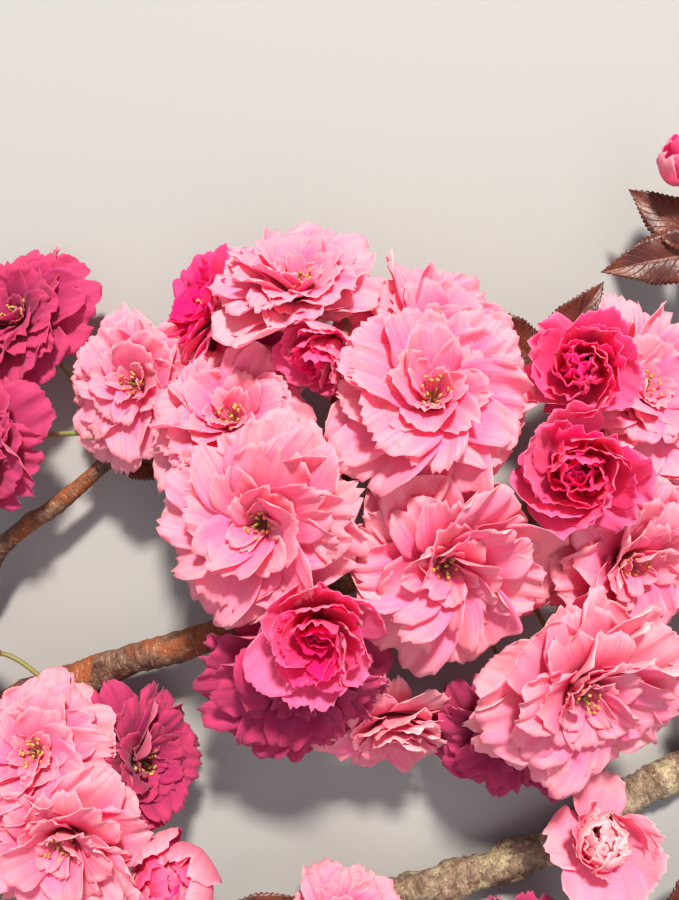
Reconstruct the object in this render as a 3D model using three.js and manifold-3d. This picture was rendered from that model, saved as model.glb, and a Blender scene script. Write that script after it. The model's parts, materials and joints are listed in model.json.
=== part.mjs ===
// A flowering branch of a double pink cherry, cut from its tree and lying on a table.
// Millimetres. Z is up from the table, X runs along the branch away from its cut, Y across it.
// Limbs, spurs, leaves and blooms are worked out here in a plan frame whose origin lies under the
// middle of the main cluster. The finished group is then moved so that its origin is the middle
// of its footprint on the table.
import * as THREE from "three";
import { mergeVertices } from "three/addons/utils/BufferGeometryUtils.js";
import Module from "manifold-3d";

const wasm = await Module();
wasm.setup();

// Driving sizes
const GAP = 0.3; // between two pieces that meet
const LIMB_SIDES = 9;
const LIMB_STEP = 18; // length of one stretch of limb
const KNOT_SWELL = 0.09; // how far the limbs thicken at their knots, as a share of the radius
const KNOT_SPACING = 32;
const SPUR_REACH = 11; // from its limb's centreline to the middle of its head
const SPUR_RADIUS = 3.3;
const SPUR_SIDES = 6;
const SPUR_WIDTHS = [0.85, 0.8, 1.05, 0.55]; // shares of its radius, from foot to head
const SPUR_CROWN = 0.8; // how far it goes on past the middle of its head, as a share of its radius
const FAN_ANGLE = THREE.MathUtils.degToRad(52); // between a spur and the stalks that leave its head
const STALK_RADIUS = 0.9;
const STALK_SIDES = 4;
const STALK_STEPS = 3;
const STALK_DEPTH = 0.4; // where it starts inside its spur's head, as a share of the head's radius
const STALK_SWEEP = 0.3; // how far it keeps the direction of each end, as a share of its reach
const STALK_LAP = 2; // how far it runs into what it carries
const CALYX_RADIUS = 3.4;
const CALYX_LENGTH = 8;
const CALYX_SIDES = 5;
const CALYX_PROFILE = [[0, -1], [0.5, -0.95], [1, 0], [0, 0.42]]; // shares, radius and height
const PETAL_ROOT_RADIUS = 1.6; // of the ring on the heart that the petals grow from
const PETAL_THICKNESS = 0.7;
const WHORL_STEP = 1.4; // up the heart from one whorl to the next
const WHORL_SINK = 1.4; // how many steps below the heart the outermost whorl grows
const PETAL_CUPPING = 0.06; // how far the outermost petals' edges rise, as a share of half their breadth
const CUPPING_STEP = 0.08; // more for each whorl further in
const PETAL_STRAY = 0.2; // how far a petal strays round its whorl, as a share of its place there
const LENGTH_SPREAD = 0.06; // how much longer or shorter than the rule a petal may be
const PETAL_ROLL = THREE.MathUtils.degToRad(13); // so that each petal's edge lies over its neighbour's
const PETAL_SCATTER = THREE.MathUtils.degToRad(5); // how far a petal's lean strays from the rule
const ROOM_RISE = 0.3; // of a bloom's middle in front of its heart, as a share of half its width
const PRESS_DEPTH = 3; // how near a neighbour's side a petal starts to be pushed back
const OVERLAP_LEAN = 2.2; // how much a difference in height leans the plane where two blooms meet
const LEAST_SHARE = 0.42; // of the way between two blooms that the smaller one keeps
const TABLE_CLEARANCE = 0.2; // under the lowest petals
const FOLD_STEP = THREE.MathUtils.degToRad(14); // a petal's fold forward to clear what it touches
const FOLD_TRIES = 3;
// A petal's rows from root to tip: half-breadth and place along it of its edges, place of its midrib,
// and thickness, all as shares.
const PETAL_ROWS = [
  { across: 0.04, edge: 0, middle: 0, thickness: 0.4 },
  { across: 1, edge: 0.66, middle: 0.62, thickness: 1 },
  { across: 0.62, edge: 1, middle: 0.95, thickness: 0.6 },
];
const LEAF_ROWS = [[0, 0.05], [0.35, 1], [0.7, 0.7], [1, 0.04]]; // shares, along and breadth
const LEAF_THICKNESS = 0.6;
const LEAF_FOLD = 0.12; // how far its edges rise, as a share of half its breadth
const LEAF_BREADTH = 0.42; // as a share of its length
const LEAF_DROOP = 0.2; // how far its tip hangs, as a share of its length
const LEAF_LAP = 1.5; // how far its foot runs into the tuft's stalk
const WELD = 1e-4; // between corners that count as one

const BARK = new THREE.MeshStandardMaterial({ color: 0x6b4f41, roughness: 0.85, metalness: 0 });
const PETAL = new THREE.MeshStandardMaterial({ color: 0xf58fb4, roughness: 0.6, metalness: 0 });
const PETAL_DEEP = new THREE.MeshStandardMaterial({ color: 0xe0286e, roughness: 0.6, metalness: 0 });
const LEAF = new THREE.MeshStandardMaterial({ color: 0x6a3020, roughness: 0.5, metalness: 0 });

// The limbs, from the cut to the tips: route in plan, the radius at each end, and the limbs that
// each one grows from and is cut clear of.
const LIMBS = {
  base_limb: {
    route: [[-212, -112, 8.5], [-194, -112, 8.5], [-177, -117, 8.5], [-163, -126, 8.5]],
    radii: [8.5, 8],
    from: [],
  },
  lower_limb_inner: {
    route: [[-163, -126, 8.5], [-146, -138, 8.3], [-124, -154, 7.8], [-100, -171, 7.5], [-66, -184, 7.5]],
    radii: [7.8, 7],
    from: ["base_limb"],
  },
  lower_limb_outer: {
    route: [
      [-66, -184, 7.5], [-25, -181, 8], [22, -162, 9], [66, -149, 9], [104, -128, 8], [132, -113, 7],
      [160, -100, 5.4],
    ],
    radii: [7, 5],
    from: ["lower_limb_inner"],
  },
  upper_limb: {
    route: [
      [-182, -116, 8.5], [-148, -107, 11], [-122, -93, 14], [-81, -77, 18], [-42, -64, 21],
      [-3, -47, 22], [34, -33, 21], [72, -20, 19], [106, -9, 17], [132, 2, 15],
    ],
    radii: [6.4, 3.4],
    from: ["base_limb", "lower_limb_inner"],
  },
  left_twig: {
    route: [[-130, -97, 13], [-134, -66, 16], [-121, -36, 17], [-97, -17, 17], [-80, -2, 17]],
    radii: [3.6, 2.4],
    from: ["upper_limb"],
  },
  middle_twig: {
    route: [[-6, -48, 22], [1, -20, 25], [2, 4, 26], [-3, 28, 24], [-8, 44, 22]],
    radii: [3.8, 2.4],
    from: ["upper_limb"],
  },
  right_twig: {
    route: [[120, -3, 16], [132, 20, 17], [136, 42, 18], [129, 64, 19]],
    radii: [2.8, 2],
    from: ["upper_limb"],
  },
  lower_twig: {
    route: [[80, -143, 9], [98, -158, 9], [111, -173, 10]],
    radii: [3.4, 2.4],
    from: ["lower_limb_outer"],
  },
};

// Short shoots that flower stalks and leaves spring from: foot on the limb's centreline, and way out.
const SPURS = {
  fork: { limb: "upper_limb", foot: [-96, -83, 17], out: [0.3, -0.6, 0.75] },
  upper: { limb: "upper_limb", foot: [-14, -52, 22], out: [-0.1, -0.5, 0.85] },
  far: { limb: "upper_limb", foot: [42, -30, 21], out: [0.35, -0.5, 0.8] },
  crown: { limb: "upper_limb", foot: [84, -16, 18], out: [0.1, 0.35, 0.9] },
  end: { limb: "upper_limb", foot: [131, 2, 15], out: [0.75, -0.35, 0.55] },
  left: { limb: "left_twig", foot: [-81, -3, 17], out: [-0.1, 0.7, 0.65] },
  middle: { limb: "middle_twig", foot: [2, -12, 25.5], out: [-0.1, 0.25, 0.95] },
  top: { limb: "middle_twig", foot: [-8, 43, 22], out: [-0.1, 0.5, 0.85] },
  right: { limb: "right_twig", foot: [129, 63, 19], out: [-0.45, 0.65, 0.6] },
  low_left: { limb: "lower_limb_outer", foot: [-54, -184, 7.6], out: [0.1, 0.75, 0.65] },
  low_middle: { limb: "lower_limb_outer", foot: [-12, -177, 8.3], out: [0.2, 0.6, 0.75] },
  low_right: { limb: "lower_twig", foot: [110, -172, 10], out: [0.1, -0.2, 0.95] },
  low_end: { limb: "lower_limb_outer", foot: [154, -103, 5.8], out: [0.5, 0.65, 0.5] },
};

// How each kind of bloom opens, whorl by whorl from the outside in. A petal's length is a share of
// half the bloom's width, and its breadth a share of its length. Its lean at its root is from the
// way that the bloom faces, and its bend is how much further it leans by its tip, in degrees.
const KINDS = {
  open: [
    { petals: 5, length: 1.04, breadth: 1.02, lean: 62, bend: 56 },
    { petals: 4, length: 0.88, breadth: 0.9, lean: 42, bend: 44 },
    { petals: 3, length: 0.68, breadth: 0.9, lean: 20, bend: 32 },
  ],
  cup: [
    { petals: 5, length: 1.24, breadth: 0.8, lean: 62, bend: -44 },
    { petals: 3, length: 1.12, breadth: 0.84, lean: 42, bend: -34 },
    { petals: 3, length: 0.92, breadth: 0.6, lean: 18, bend: -18 },
  ],
  bud: [
    { petals: 4, length: 1.34, breadth: 0.74, lean: 46, bend: -44 },
    { petals: 3, length: 1.22, breadth: 0.56, lean: 20, bend: -18 },
  ],
};

// The blooms: heart in plan, lean (compass way in plan, then degrees from straight up), width
// across, kind, and the spur that the stalk springs from. Where two press together, the wider pushes.
const BLOOMS = Object.entries({
  bloom_top_left: { at: [-40, 46, 32], lean: [155, 58], across: 48, kind: "open", spur: "top" },
  bloom_top: { at: [-13, 49, 47], lean: [90, 42], across: 58, kind: "open", spur: "top" },
  bloom_top_small: { at: [-2, 33, 55], lean: [225, 50], across: 30, kind: "cup", spur: "top" },
  bloom_top_shaded: { at: [-42, 26, 17], lean: [170, 30], across: 48, kind: "open", spur: "top" },
  bloom_top_right: { at: [29, 36, 40], lean: [75, 34], across: 58, kind: "open", spur: "top" },
  bloom_upper_left: { at: [-33, 8, 48], lean: [110, 28], across: 57, kind: "open", spur: "middle" },
  bloom_front_left: { at: [-23, -22, 60], lean: [190, 14], across: 66, kind: "open", spur: "middle" },
  bloom_front_middle: { at: [28, 15, 60], lean: [78, 17], across: 66, kind: "open", spur: "middle" },
  bloom_front_right: { at: [32, -34, 57], lean: [275, 18], across: 66, kind: "open", spur: "far" },
  bloom_lower_cup: { at: [-6, -53, 62], lean: [250, 12], across: 40, kind: "cup", spur: "upper" },
  bloom_lower_skirt: { at: [-13, -71, 44], lean: [265, 32], across: 66, kind: "open", spur: "upper" },
  bloom_lower_back: { at: [16, -91, 30], lean: [275, 50], across: 46, kind: "open", spur: "upper" },
  bloom_right_bud_upper: { at: [75, 25, 58], lean: [190, 18], across: 37, kind: "cup", spur: "crown" },
  bloom_right_pale: { at: [95, 18, 42], lean: [40, 28], across: 62, kind: "open", spur: "crown" },
  bloom_right_bud_lower: { at: [73, -5, 58], lean: [200, 14], across: 44, kind: "cup", spur: "crown" },
  bloom_right_lower: { at: [91, -35, 44], lean: [312, 27], across: 60, kind: "open", spur: "crown" },
  bloom_right_front: { at: [73, -72, 56], lean: [290, 24], across: 64, kind: "open", spur: "far" },
  bloom_right_shaded: { at: [56, -95, 32], lean: [245, 46], across: 52, kind: "open", spur: "far" },
  bloom_left_single: { at: [-68, 22, 28], lean: [170, 16], across: 52, kind: "open", spur: "left" },
  bloom_left_edge_upper: { at: [-112, 45, 17], lean: [120, 30], across: 54, kind: "open", spur: "left" },
  bloom_left_edge_middle: { at: [-122, 2, 28], lean: [190, 24], across: 50, kind: "open", spur: "left" },
  bloom_left_edge_lower: { at: [-122, -69, 32], lean: [170, 40], across: 34, kind: "cup", spur: "fork" },
  bloom_fork_upper: { at: [-98, -99, 42], lean: [100, 22], across: 52, kind: "open", spur: "fork" },
  bloom_fork_side: { at: [-70, -106, 30], lean: [10, 50], across: 50, kind: "open", spur: "fork" },
  bloom_fork_front: { at: [-88, -122, 46], lean: [270, 18], across: 58, kind: "open", spur: "fork" },
  bloom_low_left_bud: { at: [-55, -144, 34], lean: [80, 20], across: 37, kind: "bud", spur: "low_left" },
  bloom_low_middle: { at: [1, -164, 27], lean: [80, 36], across: 40, kind: "open", spur: "low_middle" },
  bloom_low_right_crumpled: {
    at: [86, -129, 38], lean: [100, 22], across: 37, kind: "cup", spur: "low_right",
  },
  bloom_low_right_shaded: {
    at: [70, -171, 20], lean: [230, 40], across: 40, kind: "open", spur: "low_right",
  },
  bud_right_edge: { at: [118, 93, 30], lean: [110, 40], across: 20, kind: "bud", spur: "right" },
  bloom_limb_end: { at: [138, -34, 34], lean: [320, 30], across: 52, kind: "open", spur: "end" },
  bloom_low_end: { at: [146, -74, 30], lean: [60, 26], across: 46, kind: "open", spur: "low_end" },
}).map(([name, bloom]) => ({ name, ...bloom }));

// Leaf tufts: each leaf has its compass way in plan, its rise from level in degrees and its length.
const LEAF_TUFTS = {
  leaves_top_right: { from: [68, 26, 36], spur: "crown", leaves: [[57, 16, 36], [133, 8, 32]] },
  leaves_right_edge: {
    from: [127, 68, 27], spur: "right", leaves: [[190, 8, 38], [138, 2, 36], [50, -24, 46]],
  },
  leaves_left: { from: [-78, -1, 27], spur: "left", leaves: [[345, 6, 27], [40, -20, 24]] },
  leaves_low_left: { from: [-48, -172, 18], spur: "low_left", leaves: [[20, 10, 40], [300, 0, 38]] },
  leaves_low_right: { from: [114, -168, 18], spur: "low_right", leaves: [[40, 16, 44], [350, 10, 40]] },
  leaves_low_end: { from: [164, -96, 12], spur: "low_end", leaves: [[350, 16, 44], [30, 26, 38]] },
};

const UP = new THREE.Vector3(0, 0, 1);
const Z_UP = new THREE.Matrix4().makeBasis(
  new THREE.Vector3(0, 1, 0), new THREE.Vector3(0, 0, 1), new THREE.Vector3(1, 0, 0),
); // turns a shape whose own axis is Y so that its axis is Z, and its compass starts at X
const vector = (place) => new THREE.Vector3(...place);
const radians = THREE.MathUtils.degToRad;
const lerp = THREE.MathUtils.lerp;

// A repeatable number from 0 to 1 for each seed and each use of it.
function chance(seed, use) {
  const wave = Math.sin(seed * 12.9898 + use * 78.233) * 43758.5453;
  return wave - Math.floor(wave);
}

// The unit vector for a compass way in plan and an angle from straight up.
function facing([way, fromUp]) {
  return new THREE.Vector3().setFromSphericalCoords(1, radians(fromUp), radians(way)).applyMatrix4(Z_UP);
}

// A place moved by a length along each of some directions.
function moved(place, ...moves) {
  const result = place.clone();
  for (const [direction, length] of moves) {
    result.addScaledVector(direction, length);
  }
  return result;
}

// A three.js geometry as a solid. Triangles that have shrunk to a line are dropped.
function solidOf(geometry) {
  geometry.deleteAttribute("normal");
  geometry.deleteAttribute("uv");
  const merged = mergeVertices(geometry, WELD);
  const indices = [...merged.index.array];
  const triangles = [];
  for (let k = 0; k < indices.length; k += 3) {
    const corners = indices.slice(k, k + 3);
    if (new Set(corners).size === 3) {
      triangles.push(...corners);
    }
  }
  return new wasm.Manifold(
    new wasm.Mesh({
      numProp: 3,
      vertProperties: merged.attributes.position.array,
      triVerts: new Uint32Array(triangles),
    }),
  );
}

// Rings of corners, each counted round the way that the rings run, joined into one closed tube.
function solidFromRings(rings) {
  const sides = rings[0].length;
  const indices = [];
  for (let ring = 0; ring < rings.length - 1; ring++) {
    for (let side = 0; side < sides; side++) {
      const a = ring * sides + side;
      const b = ring * sides + ((side + 1) % sides);
      indices.push(a, b, b + sides, a, b + sides, a + sides);
    }
  }
  const last = (rings.length - 1) * sides;
  for (let side = 1; side < sides - 1; side++) {
    indices.push(0, side + 1, side, last, last + side, last + side + 1);
  }
  const geometry = new THREE.BufferGeometry().setFromPoints(rings.flat());
  geometry.setIndex(indices);
  return solidOf(geometry);
}

// A tube along a curve. Its radius is a function of the share of the way along.
function tube(curve, radiusAt, sides, steps) {
  const { normals, binormals } = curve.computeFrenetFrames(steps, false);
  const rings = [];
  for (let step = 0; step <= steps; step++) {
    const centre = curve.getPointAt(step / steps);
    const radius = radiusAt(step / steps);
    const ring = [];
    for (let side = 0; side < sides; side++) {
      const turn = (side / sides) * 2 * Math.PI;
      const reach = [[normals[step], radius * Math.cos(turn)], [binormals[step], radius * Math.sin(turn)]];
      ring.push(moved(centre, ...reach));
    }
    rings.push(ring);
  }
  return solidFromRings(rings);
}

// A limb tapers evenly and swells at its knots. It can be made larger all round by a margin.
function limbSolid({ route, radii }, margin = 0) {
  const places = route.map(vector);
  const start = places[0].clone().sub(places[1]).normalize();
  const end = places.at(-1).clone().sub(places.at(-2)).normalize();
  places[0].addScaledVector(start, margin);
  places.at(-1).addScaledVector(end, margin);
  const curve = new THREE.CatmullRomCurve3(places, false, "centripetal");
  const length = curve.getLength();
  const knots = Math.max(1, Math.round(length / KNOT_SPACING));
  const radiusAt = (share) => {
    const swell = 1 + KNOT_SWELL * Math.sin(share * knots * Math.PI) ** 2;
    return lerp(radii[0], radii[1], share) * swell + margin;
  };
  return tube(curve, radiusAt, LIMB_SIDES, Math.max(2, Math.round(length / LIMB_STEP)));
}

// A spur is a short knobby shoot with a rounded head.
function spurSolid({ foot, out }, margin = 0) {
  const start = vector(foot);
  const tip = moved(start, [vector(out).normalize(), SPUR_REACH + SPUR_RADIUS * SPUR_CROWN + margin]);
  const steps = SPUR_WIDTHS.length - 1;
  const radiusAt = (share) => SPUR_RADIUS * SPUR_WIDTHS[Math.round(share * steps)] + margin;
  return tube(new THREE.LineCurve3(start, tip), radiusAt, SPUR_SIDES, steps);
}

function spurHead({ foot, out }) {
  return moved(vector(foot), [vector(out).normalize(), SPUR_REACH]);
}

// Each limb with its spurs, cut clear of the limbs that it grows from.
function makeLimbs() {
  const limbs = {};
  for (const [name, limb] of Object.entries(LIMBS)) {
    let solid = limbSolid(limb);
    for (const spur of Object.values(SPURS)) {
      if (spur.limb === name) {
        solid = solid.add(spurSolid(spur));
      }
    }
    for (const parent of limb.from) {
      solid = solid.subtract(limbSolid(LIMBS[parent], GAP));
    }
    limbs[name] = solid;
  }
  return limbs;
}

// The stalks of a spur leave its head in a fan, each towards what it carries. This gives each one's
// way out, keyed by its name.
function fanOf(spurName) {
  const spur = SPURS[spurName];
  const head = spurHead(spur);
  const turned = new THREE.Quaternion().setFromUnitVectors(UP, vector(spur.out).normalize());
  const tufts = Object.entries(LEAF_TUFTS).map(([name, tuft]) => ({ name, at: tuft.from, ...tuft }));
  const carried = [...BLOOMS, ...tufts].filter((thing) => thing.spur === spurName);
  const turns = carried.map(({ name, at }) => {
    const way = vector(at).sub(head).applyQuaternion(turned.clone().invert());
    return { name, turn: Math.atan2(way.y, way.x) };
  });
  turns.sort((a, b) => a.turn - b.turn);
  const step = (2 * Math.PI) / turns.length;
  const first = turns.reduce((sum, { turn }, k) => sum + turn - k * step, 0) / turns.length;
  return Object.fromEntries(
    turns.map(({ name }, k) => {
      const tilt = turns.length > 1 ? THREE.MathUtils.radToDeg(FAN_ANGLE) : 0;
      const way = facing([THREE.MathUtils.radToDeg(first + k * step), tilt]);
      return [name, way.applyQuaternion(turned)];
    }),
  );
}

// A stalk from a spur's head to the foot of what it carries. It leaves the head one way and
// arrives another.
function stalkSolid(head, leaving, foot, arriving) {
  const reach = head.distanceTo(foot);
  const curve = new THREE.CubicBezierCurve3(
    moved(head, [leaving, SPUR_RADIUS * STALK_DEPTH]),
    moved(head, [leaving, SPUR_RADIUS + reach * STALK_SWEEP]),
    moved(foot, [arriving, -reach * STALK_SWEEP]),
    moved(foot, [arriving, STALK_LAP]),
  );
  return tube(curve, () => STALK_RADIUS, STALK_SIDES, STALK_STEPS);
}

// What springs from a spur is cut clear of it.
function clearOfSpur(solid, spurName) {
  const spur = SPURS[spurName];
  return solid.subtract(spurSolid(spur, GAP)).subtract(limbSolid(LIMBS[spur.limb], GAP));
}

// The calyx is turned from a profile: a narrow tube that widens to the cup under the petals.
function calyxSolid(heart, axis, seed) {
  const shape = CALYX_PROFILE.map(([r, z]) => new THREE.Vector2(r * CALYX_RADIUS, z * CALYX_LENGTH));
  const turned = new THREE.LatheGeometry(shape, CALYX_SIDES);
  turned.applyMatrix4(Z_UP);
  turned.rotateZ(chance(seed, 7) * Math.PI);
  turned.applyQuaternion(new THREE.Quaternion().setFromUnitVectors(UP, axis));
  turned.translate(...heart.toArray());
  return solidOf(turned);
}

// A bloom's calyx and the stalk that carries it.
function stemSolid(bloom, seed) {
  const axis = facing(bloom.lean);
  const heart = vector(bloom.at);
  const foot = moved(heart, [axis, -CALYX_LENGTH]);
  const leaving = fanOf(bloom.spur)[bloom.name];
  const stalk = stalkSolid(spurHead(SPURS[bloom.spur]), leaving, foot, axis);
  return clearOfSpur(calyxSolid(heart, axis, seed).add(stalk), bloom.spur);
}

// Where a petal's surface lies, and the way that its inner face looks. across runs from -1 to 1,
// along from 0 at its root to 1 at its tip.
function petalPlace(petal, across, along) {
  const { heart, axis, out, length, width, lean, bend, cupping } = petal;
  const angle = lean + bend * along;
  const outward = (Math.cos(lean) - Math.cos(angle)) / bend;
  const forward = (Math.sin(angle) - Math.sin(lean)) / bend;
  const half = width / 2;
  const side = axis.clone().cross(out);
  const normal = moved(new THREE.Vector3(), [out, -Math.cos(angle)], [axis, Math.sin(angle)]);
  const place = moved(
    heart,
    [out, PETAL_ROOT_RADIUS + length * outward],
    [axis, petal.height + length * forward],
    [side, across * half * Math.cos(PETAL_ROLL)],
    [normal, across * half * Math.sin(PETAL_ROLL) + cupping * across ** 2 * half],
  );
  return { place, normal };
}

// A petal is thin and keeled along its back, on three rows: its root, its widest part and its tip.
function petalSolid(petal, press) {
  const rings = PETAL_ROWS.map(({ across, edge, middle, thickness }, row) => {
    const settle = (place) => (row === 0 ? place : press(place));
    const rib = petalPlace(petal, 0, middle);
    return [
      settle(petalPlace(petal, across, edge).place),
      settle(petalPlace(petal, -across, edge).place),
      moved(settle(rib.place), [rib.normal, -thickness * petal.thickness]),
    ];
  });
  return solidFromRings(rings);
}

// Every petal of a bloom, from the outermost in.
function petalsOf(bloom, seed) {
  const axis = facing(bloom.lean);
  const first = new THREE.Vector3(1, 0, 0).cross(axis).normalize();
  const second = axis.clone().cross(first);
  const petals = [];
  KINDS[bloom.kind].forEach((whorl, level) => {
    for (let k = 0; k < whorl.petals; k++) {
      const use = level * 10 + k;
      const place = (k + level / 2 + PETAL_STRAY * chance(seed, use)) / whorl.petals;
      const turn = (place + chance(seed, 99)) * 2 * Math.PI;
      const spread = lerp(-1, 1, chance(seed, use + 40)) * LENGTH_SPREAD;
      const length = (bloom.across / 2) * whorl.length * (1 + spread);
      petals.push({
        heart: vector(bloom.at),
        axis,
        out: moved(new THREE.Vector3(), [first, Math.cos(turn)], [second, Math.sin(turn)]),
        length,
        width: length * whorl.breadth,
        thickness: PETAL_THICKNESS,
        lean: radians(whorl.lean) + lerp(-1, 1, chance(seed, use + 80)) * PETAL_SCATTER,
        bend: radians(whorl.bend),
        height: (level - WHORL_SINK) * WHORL_STEP,
        cupping: PETAL_CUPPING + level * CUPPING_STEP,
      });
    }
  });
  return petals;
}

// The round room that a bloom takes.
function roomOf(bloom) {
  const radius = bloom.across / 2;
  return { middle: moved(vector(bloom.at), [facing(bloom.lean), radius * ROOM_RISE]), radius };
}

// Blooms that press together meet at a plane, given by its way out and its distance.
function pressPlanes(bloom) {
  const mine = roomOf(bloom);
  const margin = GAP / 2 + PETAL_THICKNESS;
  const planes = [{ out: UP.clone().negate(), limit: -TABLE_CLEARANCE - margin }];
  for (const other of BLOOMS) {
    const theirs = roomOf(other);
    const apart = mine.middle.distanceTo(theirs.middle);
    if (other !== bloom && apart < mine.radius + theirs.radius) {
      const out = theirs.middle.clone().sub(mine.middle);
      out.z *= OVERLAP_LEAN;
      out.normalize();
      const even = 0.5 + (mine.radius ** 2 - theirs.radius ** 2) / (2 * apart ** 2);
      const share = THREE.MathUtils.clamp(even, LEAST_SHARE, 1 - LEAST_SHARE);
      planes.push({ out, limit: mine.middle.clone().lerp(theirs.middle, share).dot(out) - margin });
    }
  }
  return planes;
}

// Moves a place back from each plane that it comes near, the more the nearer it comes.
function presser(planes) {
  return (place) => {
    const result = place.clone();
    for (const { out, limit } of [...planes, ...planes]) {
      const room = limit - result.dot(out);
      if (room < PRESS_DEPTH) {
        result.addScaledVector(out, room - PRESS_DEPTH * Math.exp(room / PRESS_DEPTH - 1));
      }
    }
    return result;
  };
}

function boxOf(solid) {
  return new THREE.Box3().setFromArray(solid.getMesh().vertProperties);
}

// A petal folds forward until it clears what is near it. A petal that can't is left out.
function fittedPetal(petal, press, obstacles) {
  const clearance = {
    length: petal.length + GAP,
    width: petal.width + 2 * GAP,
    thickness: petal.thickness + GAP,
  };
  for (let fold = 0; fold < FOLD_TRIES; fold++) {
    const folded = { ...petal, lean: petal.lean - fold * FOLD_STEP };
    const wider = petalSolid({ ...folded, ...clearance }, press);
    const box = boxOf(wider);
    const near = obstacles.filter((other) => box.intersectsBox(other.box));
    if (near.every((other) => wider.intersect(other.solid).isEmpty())) {
      return petalSolid(folded, press);
    }
  }
  return null;
}

// A leaf on four rows, with a slim foot, a broad middle and a drawn-out tip, folded along its midrib.
function leafSolid(foot, way, rise, length) {
  const along = facing([way, 90 - rise]);
  const side = UP.clone().cross(along).normalize();
  const normal = along.clone().cross(side);
  const rings = LEAF_ROWS.map(([share, width]) => {
    const half = (length * LEAF_BREADTH * width) / 2;
    const middle = moved(foot, [along, length * share], [normal, -length * LEAF_DROOP * share ** 2]);
    return [
      moved(middle, [side, half], [normal, half * LEAF_FOLD]),
      moved(middle, [side, -half], [normal, half * LEAF_FOLD]),
      moved(middle, [normal, -LEAF_THICKNESS]),
    ];
  });
  return solidFromRings(rings);
}

// A tuft of leaves on one short stalk from its spur.
function tuftSolid(name, { from, spur, leaves }) {
  const foot = vector(from);
  const head = spurHead(SPURS[spur]);
  const arriving = foot.clone().sub(head).normalize();
  let tuft = stalkSolid(head, fanOf(spur)[name], foot, arriving);
  for (const [way, rise, length] of leaves) {
    const root = moved(foot, [facing([way, 90 - rise]), -LEAF_LAP]);
    tuft = tuft.add(leafSolid(root, way, rise, length));
  }
  return clearOfSpur(tuft, spur);
}

// A solid as a named mesh.
function meshOf(name, solid, material) {
  const { vertProperties, triVerts } = solid.getMesh();
  const geometry = new THREE.BufferGeometry();
  geometry.setAttribute("position", new THREE.BufferAttribute(vertProperties, 3));
  geometry.setIndex(new THREE.BufferAttribute(triVerts, 1));
  geometry.computeVertexNormals();
  const mesh = new THREE.Mesh(geometry, material);
  mesh.name = name;
  return mesh;
}

function buildBranch() {
  const limbs = makeLimbs();
  const tufts = {};
  for (const [name, tuft] of Object.entries(LEAF_TUFTS)) {
    tufts[name] = tuftSolid(name, tuft);
  }
  const withBox = (solid) => ({ solid, box: boxOf(solid) });
  const wood = [...Object.values(limbs), ...Object.values(tufts)].map(withBox);
  const blooms = BLOOMS.map((bloom, seed) => withBox(stemSolid(bloom, seed)));
  BLOOMS.forEach((bloom, seed) => {
    const press = presser(pressPlanes(bloom));
    const obstacles = [...wood, ...blooms.filter((other, k) => k !== seed)];
    let { solid } = blooms[seed];
    for (const petal of petalsOf(bloom, seed)) {
      const fitted = fittedPetal(petal, press, obstacles);
      solid = fitted ? solid.add(fitted) : solid;
    }
    blooms[seed] = withBox(solid);
  });

  const branch = new THREE.Group();
  for (const [name, solid] of Object.entries(limbs)) {
    branch.add(meshOf(name, solid, BARK));
  }
  for (const [name, solid] of Object.entries(tufts)) {
    branch.add(meshOf(name, solid, LEAF));
  }
  BLOOMS.forEach(({ name, kind }, k) => {
    branch.add(meshOf(name, blooms[k].solid, kind === "open" ? PETAL : PETAL_DEEP));
  });
  return branch;
}

// Moves the branch so that its origin is the middle of its footprint, on the table.
function centred(branch) {
  const box = new THREE.Box3().setFromObject(branch);
  const middle = box.getCenter(new THREE.Vector3());
  branch.position.set(-middle.x, -middle.y, -box.min.z);
  return branch;
}

export default centred(buildBranch());
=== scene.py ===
"""Dresses a cut, flowering branch of a double pink cherry that lies on a table.

The limbs get a skin of bark, and each bloom gets its ruffled petals, stamens, calyx and stalk.
All sizes in the tables are millimetres in the plan frame that the solids were drawn in.
"""

import json
import math
from functools import partial

import bpy
import numpy as np
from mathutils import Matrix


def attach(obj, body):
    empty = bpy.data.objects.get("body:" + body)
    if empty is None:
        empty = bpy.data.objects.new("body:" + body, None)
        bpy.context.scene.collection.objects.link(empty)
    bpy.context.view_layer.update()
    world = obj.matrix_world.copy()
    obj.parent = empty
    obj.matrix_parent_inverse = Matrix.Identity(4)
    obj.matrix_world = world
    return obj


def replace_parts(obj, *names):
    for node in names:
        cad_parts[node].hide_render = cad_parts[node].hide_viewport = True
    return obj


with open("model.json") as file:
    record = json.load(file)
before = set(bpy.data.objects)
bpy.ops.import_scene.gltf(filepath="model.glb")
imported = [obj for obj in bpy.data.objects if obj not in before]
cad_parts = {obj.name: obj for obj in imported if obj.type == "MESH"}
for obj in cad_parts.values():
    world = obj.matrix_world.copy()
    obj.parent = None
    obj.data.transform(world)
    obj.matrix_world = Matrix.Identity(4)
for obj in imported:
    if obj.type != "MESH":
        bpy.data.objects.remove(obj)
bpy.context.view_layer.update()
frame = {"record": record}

bl_info = {
    "name": "Flowering Cherry Branch",
    "version": (1, 0, 0),
    "blender": (4, 5, 0),
    "location": "3D View > Sidebar > Branch",
    "description": "Builds the bark, leaves and double blooms of a cut cherry branch",
    "category": "Object",
}

MM = 0.001
BODY = "root"

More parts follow.
